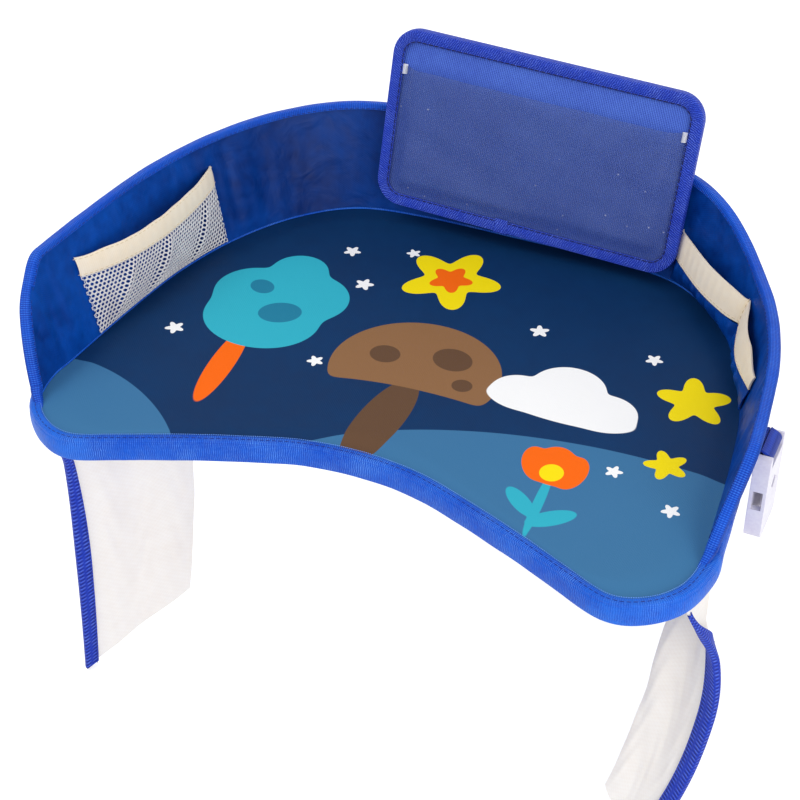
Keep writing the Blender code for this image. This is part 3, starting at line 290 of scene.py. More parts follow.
def slab(name, front, back, size, *look):
    """A cloth between two grids of points; size is its (width, height) for the weave."""
    rows, columns = front.shape[:2]
    index = np.arange(rows * columns).reshape(rows, columns)
    flat = np.meshgrid(np.linspace(0.0, size[0], columns), np.linspace(0.0, size[1], rows))
    flat = np.stack(flat, -1).reshape(-1, 2)
    face = index[quads(rows, columns)]
    border = np.concatenate([index[0], index[1:, -1], index[-1, -2::-1], index[-2:0:-1, 0]])
    after = np.roll(border, -1)
    sides = np.stack([border, after, after + index.size, border + index.size], -1)
    points = np.concatenate([front.reshape(-1, 3), back.reshape(-1, 3)])
    faces = np.concatenate([face, face[:, ::-1] + index.size, sides])
    return piece(name, points, faces, [flat[faces % index.size]], *look)


def grid_normals(grid):
    return unit(np.cross(np.gradient(grid, axis=1), np.gradient(grid, axis=0)))


def sheet(name, grid, thickness, size, *look):
    """A cloth of even thickness round a grid of points."""
    half = grid_normals(grid) * thickness / 2
    return slab(name, grid + half, grid - half, size, *look)


def sweep(name, points, into, across, sections, *look, closed=False):
    """A tape: each section of (into, across) pairs stands at its point; open runs get end caps."""
    into, across = (np.broadcast_to(direction, points.shape)[:, None] for direction in (into, across))
    sections = np.broadcast_to(sections, (len(points), *np.shape(sections)[-2:]))
    rings = points[:, None] + into * sections[..., :1] + across * sections[..., 1:]
    count, corners = rings.shape[:2]
    steps = np.linalg.norm(np.diff(np.concatenate([points, points[:1]]), axis=0), axis=1)
    along = np.concatenate([[0.0], np.cumsum(steps)])
    loop = np.concatenate([sections[0], sections[0, :1]])
    around = np.concatenate([[0.0], np.cumsum(np.linalg.norm(np.diff(loop, axis=0), axis=1))])
    row, column = quads(count, corners, wrap_rows=closed, wrap_columns=True)
    faces = list((row % count) * corners + column % corners)
    uvs = [np.stack([along[row], around[column]], -1)]
    for ring in () if closed else (0, count - 1):
        faces.append([ring * corners + k for k in range(corners)])
        uvs.append(np.stack([sections[ring, :, 0] * 0 + along[ring], sections[ring, :, 1]], -1))
    return piece(name, rings.reshape(-1, 3), faces, uvs, *look)


def fold_section(core, tape, depth, gap, crown, flat, steps=14):
    """A folded tape round a sheet's edge at (0, 0), as (into, across) pairs."""
    inner = core / 2 + gap
    outer = inner + tape
    section = [(depth, outer - tape * 0.3), (depth - tape * 0.3, outer)]
    for step in range(steps + 1):
        angle = math.pi / 2 - math.pi * step / steps
        across = outer * math.copysign(abs(math.sin(angle)) ** 0.6, math.sin(angle))
        nose = math.cos(angle) ** 0.75 if 0 < step < steps else 0.0
        section.append((-(flat + (crown - flat) * nose), across))
    section += [(depth - tape * 0.3, -outer), (depth, -outer + tape * 0.3)]
    section += [(depth, -inner), (-gap, -inner), (-gap, inner), (depth, inner)]
    return np.array(section)


def turned_edge(half, crown, flat, depth, thickness, start, stop, steps=14):
    """A strip turned over an edge at (0, 0) between two angles, -90 on the tray's side and 90 outside."""
    faces = []
    for inset in (0.0, thickness):
        face = []
        for angle in np.radians(np.linspace(start, stop, steps)):
            nose = max(math.cos(angle), 0.0) ** 0.75
            across = (half - inset) * math.copysign(abs(math.sin(angle)) ** 0.6, math.sin(angle))
            face.append((-(flat + (crown - flat) * nose) + inset, across))
        if start <= -90.0:
            face.insert(0, (depth, -half + inset))
        if stop >= 90.0:
            face.append((depth, half - inset))
        faces.append(face)
    return np.array(faces[0] + faces[1][::-1])


# Geometry trees: threads and the net's holes


def grow(name, tree, source, *look, **values):
    """Run a geometry tree over a source mesh and keep the result as a plain mesh."""
    carrier = link(name + "_source", source)
    modifier = carrier.modifiers.new("growth", "NODES")
    modifier.node_group = tree
    values["Material"] = look[0]
    for item in tree.interface.items_tree:
        if item.in_out == "INPUT" and item.name in values:
            modifier[item.identifier] = values[item.name]
    graph = bpy.context.evaluated_depsgraph_get()
    mesh = bpy.data.meshes.new_from_object(carrier.evaluated_get(graph), depsgraph=graph)
    bpy.data.objects.remove(carrier)
    mesh.name = name
    return shown(name, mesh, *look)


def feed(tree, socket, value):
    if isinstance(value, bpy.types.NodeSocket):
        tree.links.new(value, socket)
    elif isinstance(value, bpy.types.Node):
        tree.links.new(value.outputs[0], socket)
    elif value is not None:
        socket.default_value = value


def put(tree, kind, *values, named=(), **settings):
    """Add a node; values go to its inputs in order, named ones by name."""
    node = tree.nodes.new(kind)
    for key, value in settings.items():
        setattr(node, key, value)
    for socket, value in zip(node.inputs, values):
        feed(tree, socket, value)
    for key, value in dict(named).items():
        feed(tree, node.inputs[key], value)
    return node


def geometry_tree(name, sizes):
    tree = bpy.data.node_groups.new(name, "GeometryNodeTree")
    tree.interface.new_socket("Geometry", in_out="INPUT", socket_type="NodeSocketGeometry")
    for label, value in sizes.items():
        tree.interface.new_socket(label, in_out="INPUT", socket_type="NodeSocketFloat").default_value = value
    tree.interface.new_socket("Material", in_out="INPUT", socket_type="NodeSocketMaterial")
    tree.interface.new_socket("Geometry", in_out="OUTPUT", socket_type="NodeSocketGeometry")
    return tree, tree.nodes.new("NodeGroupInput"), tree.nodes.new("NodeGroupOutput")


def finish_tree(tree, entry, leave, geometry):
    solid = put(tree, "GeometryNodeRealizeInstances", geometry)
    painted = put(tree, "GeometryNodeSetMaterial", named={"Geometry": solid, "Material": entry.outputs["Material"]})
    feed(tree, leave.inputs[0], painted)


def stitch_tree():
    """Small threads laid end to end along a line."""
    sizes = {"Pitch": STITCH_PITCH, "Stitch Length": STITCH_LENGTH, "Thread Radius": THREAD_RADIUS}
    tree, entry, leave = geometry_tree("running_stitch", sizes)
    geometry, pitch, length, radius = entry.outputs[:4]
    line = put(tree, "GeometryNodeMeshToCurve", geometry)
    spaced = put(tree, "GeometryNodeResampleCurve", mode="LENGTH", named={"Curve": line, "Length": pitch})
    thread = put(tree, "GeometryNodeMeshUVSphere", named={"Segments": 6, "Rings": 5, "Radius": 1.0})
    size = put(tree, "ShaderNodeCombineXYZ", radius, radius, sums(tree, "MULTIPLY", length, 0.5))
    shaped = put(tree, "GeometryNodeTransform", named={"Geometry": thread, "Scale": size})
    tangent = put(tree, "GeometryNodeInputTangent")
    turn = put(tree, "FunctionNodeAlignRotationToVector", named={"Vector": tangent}, axis="Z")
    rows = put(tree, "GeometryNodeInstanceOnPoints", named={"Points": spaced, "Instance": shaped, "Rotation": turn})
    finish_tree(tree, entry, leave, rows)
    return tree


def net_tree():
    """Knit a net: every cell of a flat mesh loses its middle."""
    tree, entry, leave = geometry_tree("knitted_net", {"Hole Share": NET_HOLE_SHARE})
    geometry, share = entry.outputs[:2]
    cut = put(tree, "GeometryNodeExtrudeMesh", mode="FACES",
              named={"Mesh": geometry, "Offset Scale": 0.0, "Individual": True}).outputs
    narrowed = put(tree, "GeometryNodeScaleElements",
                   named={"Geometry": cut["Mesh"], "Selection": cut["Top"], "Scale": share})
    opened = put(tree, "GeometryNodeDeleteGeometry", domain="FACE",
                 named={"Geometry": narrowed, "Selection": cut["Top"]})
    finish_tree(tree, entry, leave, opened)
    return tree


def line_mesh(name, lines):
    """Open lines of points as one mesh of edges."""
    points, edges = [], []
    for line in lines:
        first = len(points)
        points += [tuple(p) for p in line]
        edges += [(first + k, first + k + 1) for k in range(len(line) - 1)]
    mesh = bpy.data.meshes.new(name)
    mesh.from_pydata(points, edges, [])
    return mesh


def stitches(name, lines, *look, pitch=STITCH_PITCH, length=STITCH_LENGTH, radius=THREAD_RADIUS):
    sizes = {"Pitch": pitch, "Stitch Length": length, "Thread Radius": radius}
    return grow(name, STITCHES, line_mesh(name, lines), *look, **sizes)


# Shader groups


def tone(code):
    """A colour written as on screen, for a socket."""
    parts = [int(code[i:i + 2], 16) / 255 for i in (0, 2, 4)]
    return (*[p / 12.92 if p <= 0.04045 else ((p + 0.055) / 1.055) ** 2.4 for p in parts], 1.0)


def shader_group(name, inputs, outputs):
    tree = bpy.data.node_groups.new(name, "ShaderNodeTree")
    for label, value in inputs.items():
        kind = "NodeSocketVector" if value is None else "NodeSocketFloat"
        socket = tree.interface.new_socket(label, in_out="INPUT", socket_type=kind)
        if value is not None:
            socket.default_value = value
    for label in outputs:
        tree.interface.new_socket(label, in_out="OUTPUT", socket_type="NodeSocketFloat")
    return tree, tree.nodes.new("NodeGroupInput"), tree.nodes.new("NodeGroupOutput")


def sums(tree, operation, a, b=None, c=None):
    return put(tree, "ShaderNodeMath", a, b, c, operation=operation).outputs[0]


def wave(tree, value, pitch):
    """0 to 1 and back in each pitch."""
    turns = sums(tree, "MULTIPLY", sums(tree, "DIVIDE", value, pitch), 2 * math.pi)
    return sums(tree, "MULTIPLY_ADD", sums(tree, "SINE", turns), 0.5, 0.5)


def weave_group():
    """Plain weave: threads pass over and under each other."""
    tree, entry, leave = shader_group("plain_weave", {"Place": None, "Pitch": 0.001}, ["Height"])
    parts = put(tree, "ShaderNodeSeparateXYZ", entry.outputs["Place"]).outputs
    double = sums(tree, "MULTIPLY", entry.outputs["Pitch"], 2.0)
    warp, weft = (sums(tree, "SUBTRACT", wave(tree, part, double), 0.5) for part in parts[:2])
    feed(tree, leave.inputs[0], sums(tree, "MULTIPLY_ADD", sums(tree, "MULTIPLY", warp, weft), 2.0, 0.5))
    return tree


def noise(tree, place, scale, detail=2.0, distortion=0.0):
    named = {"Vector": place, "Scale": scale, "Detail": detail, "Distortion": distortion}
    return put(tree, "ShaderNodeTexNoise", named=named).outputs[0]


def thread_group():
    """Thick threads side by side, slanted or not, a little uneven, and broken up by those that cross them."""
    sizes = {"Place": None, "Pitch": 0.0012, "Slant": 0.6, "Unevenness": 0.15, "Grain": 420.0, "Crossing": 0.7}
    tree, entry, leave = shader_group("thick_threads", sizes, ["Height"])
    place, pitch, slant, unevenness, grain, crossing = entry.outputs[:6]
    shift = sums(tree, "MULTIPLY", sums(tree, "SUBTRACT", noise(tree, place, grain, 1.0), 0.5), unevenness)
    parts = put(tree, "ShaderNodeSeparateXYZ", place).outputs
    slanted = sums(tree, "MULTIPLY_ADD", parts[1], slant, parts[0])
    lines = wave(tree, sums(tree, "MULTIPLY_ADD", shift, pitch, slanted), pitch)
    crossed = wave(tree, parts[1], sums(tree, "MULTIPLY", pitch, crossing))
    feed(tree, leave.inputs[0], sums(tree, "MULTIPLY_ADD", crossed, 0.3, sums(tree, "MULTIPLY", lines, 0.7)))
    return tree


def dapple_group():
    """Uneven dye and handling: broad cloudy patches with small ones on top."""
    tree, entry, leave = shader_group("dapple", {"Place": None, "Scale": 20.0}, ["Value"])
    place, scale = entry.outputs[:2]
    broad, fine = noise(tree, place, scale, 3.0), noise(tree, place, sums(tree, "MULTIPLY", scale, 9.0))
    both = sums(tree, "MULTIPLY_ADD", fine, 0.35, sums(tree, "MULTIPLY", broad, 0.65))
    feed(tree, leave.inputs[0], put(tree, "ShaderNodeMapRange", both, 0.33, 0.67))
    return tree


def oval_group():
    """Depth of a place inside an oval, negative outside, in metres."""
    sizes = {"Place": None, "Across": 0.0, "Up": 0.0, "Half Width": 0.01, "Half Height": 0.01, "Turn": 0.0}
    tree, entry, leave = shader_group("oval", sizes, ["Depth"])
    place, across, up, half_width, half_height, turn = entry.outputs[:6]
    middle = put(tree, "ShaderNodeCombineXYZ", across, up)
    reach = put(tree, "ShaderNodeCombineXYZ", half_width, half_height, 1.0)
    turned = put(tree, "ShaderNodeVectorRotate", rotation_type="Z_AXIS",
                 named={"Vector": place, "Center": middle, "Angle": sums(tree, "MULTIPLY", turn, -1.0)})
    away = put(tree, "ShaderNodeVectorMath", turned, middle, operation="SUBTRACT")
    level = put(tree, "ShaderNodeVectorMath", away, (1.0, 1.0, 0.0), operation="MULTIPLY")
    shares = put(tree, "ShaderNodeVectorMath", level, reach, operation="DIVIDE")
    length = put(tree, "ShaderNodeVectorMath", shares, operation="LENGTH").outputs["Value"]
    narrow = sums(tree, "MINIMUM", half_width, half_height)
    feed(tree, leave.inputs[0], sums(tree, "MULTIPLY", sums(tree, "SUBTRACT", 1.0, length), narrow))
    return tree


def star_group():
    """Depth of a place inside a soft five-pointed star."""
    sizes = {"Place": None, "Across": 0.0, "Up": 0.0, "Radius": 0.01, "Point": 0.3, "Turn": 0.0}
    tree, entry, leave = shader_group("star", sizes, ["Depth"])
    place, across, up, radius, point, turn = entry.outputs[:6]
    parts = put(tree, "ShaderNodeSeparateXYZ", place).outputs
    x, y = sums(tree, "SUBTRACT", parts[0], across), sums(tree, "SUBTRACT", parts[1], up)
    angle = sums(tree, "SUBTRACT", sums(tree, "ARCTAN2", x, y), turn)
    lobes = sums(tree, "COSINE", sums(tree, "MULTIPLY", angle, 5.0))
    reach = sums(tree, "MULTIPLY", sums(tree, "MULTIPLY_ADD", lobes, point, 1.0), radius)
    away = sums(tree, "SQRT", sums(tree, "ADD", sums(tree, "MULTIPLY", x, x), sums(tree, "MULTIPLY", y, y)))
    feed(tree, leave.inputs[0], sums(tree, "SUBTRACT", reach, away))
    return tree


WEAVE, THREADS, DAPPLE, OVAL, STAR = weave_group(), thread_group(), dapple_group(), oval_group(), star_group()
STITCHES, NET = stitch_tree(), net_tree()


# Materials


def grouped(tree, group, **values):
    return put(tree, "ShaderNodeGroup", node_tree=group, named=values).outputs[0]


def blend(tree, share, first, second):
    return put(tree, "ShaderNodeMix", named={0: share, 6: first, 7: second}, data_type="RGBA").outputs[2]


def bump(tree, height, distance, under=None):
    named = {"Height": height, "Distance": distance, "Strength": 1.0}
    if under is not None:
        named["Normal"] = under
    return put(tree, "ShaderNodeBump", named=named).outputs[0]


def new_finish(name, **sockets):
    material = bpy.data.materials.new(name)
    material.use_nodes = True
    tree = material.node_tree
    shader = tree.nodes["Principled BSDF"]
    for label, value in sockets.items():
        shader.inputs[label.replace("_", " ")].default_value = value
    own = put(tree, "ShaderNodeUVMap", uv_map="cloth").outputs[0]
    place = put(tree, "ShaderNodeTexCoord").outputs["Object"]
    return material, tree, shader, own, place


def plain(pitch):
    return WEAVE, {"Pitch": pitch}


def ribs(pitch, unevenness):
    return THREADS, {"Pitch": pitch, "Slant": 0.0, "Unevenness": unevenness, "Grain": 260.0, "Crossing": 0.8}


def twill(pitch, slant, unevenness=0.15):
    return THREADS, {"Pitch": pitch, "Slant": slant, "Unevenness": unevenness}


def cloth_finish(name, light, dark, pattern, roughness, relief, patch=20.0, crinkle=0.0, contrast=0.55, gleam=None,
                 **sockets):
    """A woven finish: its pattern lights the threads' tops, and broad patches change the tone.

    A gleam, where given, is a painted highlight: a paler tone on the threads' tops, in patches.
    """
    material, tree, shader, own, place = new_finish(name, **sockets)
    height = grouped(tree, pattern[0], Place=own, **pattern[1])
    dapple = grouped(tree, DAPPLE, Place=place, Scale=patch)
    share = sums(tree, "MULTIPLY_ADD", height, contrast, sums(tree, "MULTIPLY", dapple, 1.0 - contrast))
    colour = blend(tree, share, tone(dark), tone(light))
    if gleam is not None:
        # Painted highlight on the threads' tops, in patches.
        gleam_patches = grouped(tree, DAPPLE, Place=place, Scale=2.2 * patch)
        raised = sums(tree, "MULTIPLY", sums(tree, "MULTIPLY_ADD", gleam_patches, 0.45, 0.55), height)
        colour = blend(tree, put(tree, "ShaderNodeMapRange", raised, 0.45, 1.2), colour, tone(gleam))
    feed(tree, shader.inputs["Base Color"], colour)
    feed(tree, shader.inputs["Roughness"], sums(tree, "MULTIPLY_ADD", dapple, 0.12, roughness - 0.06))
    normal = bump(tree, height, relief)
    if crinkle:
        normal = bump(tree, noise(tree, place, 55.0, 3.0, 0.6), crinkle, normal)
    feed(tree, shader.inputs["Normal"], normal)
    return material


# Generic night garden: each motif's tone, how far its ovals melt together, its ovals as (across, up, half
# width, half height, turn in degrees), and an oval cut away from it
MOTIFS = (
    ("3B74A1", 0.004, ((0.150, -0.150, 0.235, 0.155, 0), (-0.190, -0.165, 0.120, 0.125, 0)), None),
    ("644833", 0.004, ((-0.004, -0.022, 0.013, 0.040, -4),), None),
    ("906845", 0.006, ((-0.004, 0.026, 0.050, 0.046, 6),), (0.000, -0.040, 0.110, 0.050, 6)),
    ("644833", 0.002, ((0.012, 0.044, 0.012, 0.010, -12),), None),
    ("644833", 0.002, ((-0.026, 0.034, 0.009, 0.008, 0),), None),
    ("644833", 0.002, ((0.026, 0.024, 0.006, 0.0055, 0),), None),
    ("FF6B00", 0.003, ((-0.108, -0.012, 0.0075, 0.036, 5),), None),
    ("30B3C9", 0.010, ((-0.108, 0.038, 0.036, 0.030, 0), (-0.124, 0.060, 0.025, 0.024, 0),
                       (-0.092, 0.066, 0.026, 0.024, 0), (-0.108, 0.088, 0.018, 0.018, 0)), None),
    ("1F7F9F", 0.003, ((-0.100, 0.046, 0.013, 0.010, 25),), None),
    ("1F7F9F", 0.003, ((-0.122, 0.066, 0.008, 0.0065, -20),), None),
    ("FFFFFF", 0.006, ((0.084, 0.026, 0.042, 0.011, 0), (0.058, 0.032, 0.017, 0.015, 0),
                       (0.082, 0.044, 0.022, 0.021, 0), (0.108, 0.033, 0.018, 0.016, 0)), None),
    ("30B3C9", 0.002, ((0.100, -0.052, 0.0028, 0.026, 4),), None),
    ("30B3C9", 0.003, ((0.110, -0.060, 0.014, 0.0055, 38), (0.091, -0.054, 0.013, 0.005, -40)), None),
    ("FF6B00", 0.004, ((0.098, -0.020, 0.012, 0.016, 12), (0.088, -0.022, 0.008, 0.014, 24),
                       (0.108, -0.022, 0.008, 0.014, -4)), None),
    ("FFE600", 0.002, ((0.098, -0.026, 0.0065, 0.007, 0),), None),
)
# Each star's tone, place, radius, how far its points reach out and its turn
STARS = (
    ("FFE600", -0.020, 0.118, 0.024, 0.30, 0.2), ("FF6B00", -0.020, 0.118, 0.011, 0.24, 0.2),
    ("FFE600", 0.150, 0.062, 0.0165, 0.30, -0.3), ("FFFFFF", -0.150, 0.008, 0.0045, 0.3, 0.4),
    ("FFFFFF", -0.066, 0.092, 0.0045, 0.3, 0.0), ("FFFFFF", -0.060, 0.012, 0.0038, 0.3, 0.5),
    ("FFFFFF", 0.048, 0.090, 0.0045, 0.3, 0.9), ("FFFFFF", 0.118, 0.090, 0.0040, 0.3, 0.3),
    ("FFE600", 0.152, 0.004, 0.0095, 0.3, 0.7), ("FFFFFF", 0.128, -0.012, 0.0038, 0.3, 0.1),
    ("FFFFFF", -0.052, 0.135, 0.0035, 0.3, 0.6), ("FFFFFF", -0.088, 0.122, 0.0042, 0.3, 0.2),
    ("FFFFFF", 0.165, -0.030, 0.0040, 0.3, 0.5),
)


def print_over(tree, colour, depth, code):
    """Lay one printed tone over the others where depth is above 0."""
    edge = put(tree, "ShaderNodeMapRange", depth, -0.00015, 0.00015)
    return blend(tree, edge, colour, tone(code))


def printed_finish():
    """The printed top: navy ground, flat motifs with clean edges, and the cloth's weave over all."""
    material, tree, shader, own, place = new_finish("printed_cloth", Specular_IOR_Level=0.18)
    dapple = grouped(tree, DAPPLE, Place=place, Scale=14.0)
    colour = blend(tree, dapple, tone("002C58"), tone("003362"))

    def oval(across, up, half_width, half_height, turn):
        values = {"Across": across, "Up": up, "Half Width": half_width, "Half Height": half_height}
        return grouped(tree, OVAL, Place=place, **values, Turn=math.radians(turn))

    for code, melt, ovals, bite in MOTIFS:
        depth = oval(*ovals[0])
        for sizes in ovals[1:]:
            depth = sums(tree, "SMOOTH_MAX", depth, oval(*sizes), melt)
        if bite is not None:
            depth = sums(tree, "SMOOTH_MIN", depth, sums(tree, "MULTIPLY", oval(*bite), -1.0), 0.008)
        colour = print_over(tree, colour, depth, code)
    for code, *sizes in STARS:
        values = dict(zip(("Across", "Up", "Radius", "Point", "Turn"), sizes))
        colour = print_over(tree, colour, grouped(tree, STAR, Place=place, **values), code)
    feed(tree, shader.inputs["Base Color"], colour)
    feed(tree, shader.inputs["Roughness"], sums(tree, "MULTIPLY_ADD", dapple, 0.08, 0.62))
    weave = bump(tree, grouped(tree, WEAVE, Place=own, Pitch=0.0008), 0.00004)
    feed(tree, shader.inputs["Normal"], bump(tree, noise(tree, place, 16.0), 0.0011, weave))
    return material


def seen(tree):
    """1 for the light that meets the eye, straight or by a gloss or a clear piece."""
    path = put(tree, "ShaderNodeLightPath").outputs
    second = sums(tree, "MAXIMUM", path["Is Glossy Ray"], path["Is Transmission Ray"])
    return sums(tree, "MAXIMUM", path["Is Camera Ray"], second)


def film_finish():
    """Clear vinyl: faint haze, a few pale specks and a soft gloss over long shallow waves."""
    material, tree, shader, own, place = new_finish("clear_film", Specular_IOR_Level=0.3)
    dapple = grouped(tree, DAPPLE, Place=place, Scale=12.0)
    grit = put(tree, "ShaderNodeTexVoronoi", named={"Vector": own, "Scale": 95.0, "Randomness": 1.0})
    specks = put(tree, "ShaderNodeMapRange", grit.outputs[0], 0.07, 0.03)
    hazy = blend(tree, dapple, tone("4C5C90"), tone("5A6AA2"))
    feed(tree, shader.inputs["Base Color"], blend(tree, specks, hazy, tone("C8D0F0")))
    haze = sums(tree, "MULTIPLY_ADD", dapple, 0.05, 0.22)
    feed(tree, shader.inputs["Alpha"], sums(tree, "MULTIPLY_ADD", specks, 0.22, haze))
    feed(tree, shader.inputs["Roughness"], sums(tree, "MULTIPLY_ADD", dapple, 0.10, 0.30))
    feed(tree, shader.inputs["Normal"], bump(tree, noise(tree, own, 16.0, 1.0, 0.4), 0.0006))
    return material


def moulded_finish():
    """Moulded white plastic: fine spark grain, faint flow marks, and slightly rubbed."""
    material, tree, shader, own, place = new_finish("white_plastic", Specular_IOR_Level=0.5, Coat_Weight=0.15)
    dapple = grouped(tree, DAPPLE, Place=place, Scale=60.0)
    grain = noise(tree, place, 2200.0)
    feed(tree, shader.inputs["Base Color"], blend(tree, dapple, tone("DCD7E8"), tone("ECEAF4")))
    feed(tree, shader.inputs["Roughness"], sums(tree, "MULTIPLY_ADD", grain, 0.2, 0.26))
    feed(tree, shader.inputs["Normal"], bump(tree, grain, 0.00006))
    return material


# The gleam tones given below are painted highlights on the threads' tops.
NYLON = cloth_finish("wall_nylon", "0053BC", "002268", plain(0.0007), 0.42, 0.00004, patch=14.0, crinkle=0.0011,
                     contrast=0.25, Specular_IOR_Level=0.18)
UNDER_NYLON = cloth_finish("under_nylon", "0A56C4", "003090", plain(0.0009), 0.5, 0.00006, patch=18.0,
                           crinkle=0.0012, contrast=0.4, Specular_IOR_Level=0.3)
RIM_TAPE = cloth_finish("rim_tape", "0064E2", "0036B0", ribs(0.0011, 1.3), 0.48, 0.00016, patch=26.0,
                        crinkle=0.0007, gleam="7CB8FF", Specular_IOR_Level=0.2)
TOP_TAPE = cloth_finish("top_tape", "0A5EE2", "0030A0", ribs(0.0012, 0.5), 0.5, 0.00025, patch=36.0,
                        contrast=0.65, gleam="4A8CF0", Specular_IOR_Level=0.2)
HOLDER_BINDING = cloth_finish("holder_tape", "2E54E0", "0A2098", twill(0.0014, 0.5, 1.3), 0.55, 0.0005, patch=60.0,
                              contrast=0.8, gleam="7C98F8", Specular_IOR_Level=0.25)
FLAP_BINDING = cloth_finish("flap_tape", "2248D6", "04147C", plain(0.0016), 0.6, 0.0006, patch=60.0,
                            contrast=0.8, gleam="6C8CF0", Specular_IOR_Level=0.2)
HOLDER_TWILL = cloth_finish("holder_twill", "5880E4", "203CAC", twill(0.0015, 0.45), 0.6, 0.0003, patch=24.0,
                            contrast=0.72, Sheen_Weight=0.12, Specular_IOR_Level=0.3)
ELASTIC = cloth_finish("beige_elastic", "FFF4E2", "FAE8CC", ribs(0.0011, 0.4), 0.75, 0.00005, patch=25.0,
                       contrast=0.35, Sheen_Weight=0.1, Specular_IOR_Level=0.3)
NET_YARN = cloth_finish("net_yarn", "FBF9F6", "D2CED4", twill(0.0009, 1.0), 0.6, 0.0001, patch=60.0, contrast=0.4,
                        Sheen_Weight=0.1)
FLAP_CLOTH = cloth_finish("flap_cloth", "FFFCF8", "F8F1EA", plain(0.0018), 0.9, 0.00005, patch=14.0,
                          crinkle=0.0007, contrast=0.35, Specular_IOR_Level=0.2)
WEBBING = cloth_finish("webbing", "1B48C4", "06207C", ribs(0.0021, 0.3), 0.6, 0.0004, patch=50.0, contrast=0.65,
                       Sheen_Weight=0.1, Specular_IOR_Level=0.3)
FUZZ = cloth_finish("hook_loop", "1A3C9C", "0C2068", plain(0.0014), 0.95, 0.0006, patch=120.0, contrast=0.5,
                    Sheen_Weight=0.4)
# The seam thread is near black and, on the holder, laid almost end to end: a real seam that also serves as a painted
# shadow line along the tape's inner edge.
DARK_THREAD, SEAM_AND_SHADOW_THREAD, FRAYED_THREAD, PALE_THREAD, BEIGE_THREAD = (
    cloth_finish(name, light, dark, twill(0.0005, 1.0), 0.6, 0.00004, patch=200.0, Sheen_Weight=0.15,
                 Specular_IOR_Level=0.3)
    for name, light, dark in (
        ("dark_thread", "0E2C94", "020F50"), ("seam_and_shadow_thread", "0A1A66", "02082C"),
        ("frayed_thread", "7CAEF8", "2C70E4"), ("pale_thread", "FFFFFF", "D8DCEC"),
        ("beige_thread", "F0DEC0", "D2BC94"),
    )
)
PRINT, FILM, MOULDED = printed_finish(), film_finish(), moulded_finish()


def retone(material, code, share_of):
    """Lay another tone over a finish; share_of gives its share from the finish's tree and the place on it."""
    tree = material.node_tree
    entry = tree.nodes["Principled BSDF"].inputs["Base Color"]
    place = put(tree, "ShaderNodeTexCoord").outputs["Object"]
    feed(tree, entry, blend(tree, share_of(tree, place), entry.links[0].from_socket, tone(code)))


def corner_highlight_share(tree, place):
    """Painted highlight on the rim tape's tight corners, in patches, where the attribute marks those corners."""
    corner_highlight = put(tree, "ShaderNodeAttribute", attribute_name="corner_highlight").outputs["Fac"]
    return sums(tree, "MULTIPLY", corner_highlight, grouped(tree, DAPPLE, Place=place, Scale=70.0))


def back_shade_share(tree, place):
    """Painted shade at the tray's back, on the left, where the holder keeps the light off the wall."""
    parts = put(tree, "ShaderNodeSeparateXYZ", place).outputs
    away = put(tree, "ShaderNodeMapRange", parts[1], 0.05, 0.15, 0.0, 0.45)
    left = put(tree, "ShaderNodeMapRange", parts[0], 0.05, 0.12, 1.0, 0.0)
    return sums(tree, "MULTIPLY", away, left)


# Painted highlight: a paler tone on the rim tape's tight corners.
retone(RIM_TAPE, "2070E4", corner_highlight_share)
# Painted shade: a darker tone on the back wall, on the left, behind the holder.
retone(NYLON, "001448", back_shade_share)


# Pieces


def pad(name, rim, middle, low, high, *look, crown=0.0, edge_dip=0.0, rings=44):
    """A pad with a flat foot, crowned inside its bound edge where a crown is given."""
    count = len(rim)
    shares = 1.0 - np.linspace(0.0, 1.0, rings, endpoint=False) ** 1.5
    plan = middle + (rim - middle)[None] * shares[:, None, None]
    inside = (1.0 - shares)[:, None] * np.linalg.norm(rim - middle, axis=1)[None] - BOARD_EDGE_REACH
    raised = smooth_step(inside / PRINT_CROWN_RUN)
    dents = waver(plan[..., 0] * 0.5, 1.0) * waver(plan[..., 1] * 0.6, 2.0) * 0.0005 * raised
    top = high - edge_dip * (1 - raised) + crown * raised + dents * (crown > 0)
    points = np.concatenate([
        np.concatenate([plan, top[..., None]], -1).reshape(-1, 3),
        at_level(rim, low),
        [[*middle, high + crown], [*middle, low]],
    ])
    row, column = quads(rings, count, wrap_columns=True)
    here = np.arange(count)
    after, inner, foot, peak = (here + 1) % count, (rings - 1) * count, rings * count, (rings + 1) * count + 0 * here
    faces = [*(row * count + column % count), *np.stack([here, after, foot + after, foot + here], -1),
             *np.stack([inner + here, inner + after, peak], -1), *np.stack([foot + here, foot + after, peak + 1], -1)]
    return piece(name, points, faces, [points[face, :2] for face in faces], *look)


def build_board():
    """The printed top over its foam, and the cloth and the stiff board under them."""
    rim = EDGE.offset(np.linspace(0.0, EDGE.perimeter, 300, endpoint=False), BOARD_EDGE_REACH - FIT_GAP)
    middle = np.array([0.0, 0.030])
    top = pad("printed_top", rim, middle, FOAM_FOOT_Z, BOARD_TOP_Z, PRINT, "tray", "printed_cloth", "printed_panel",
              "foam_pad", crown=PRINT_CROWN, edge_dip=0.0001)
    pad("under_cloth", rim, middle, 0.0, BASE_TOP_Z, UNDER_NYLON, "tray", "blue_cloth", "bottom_panel", "base_board")


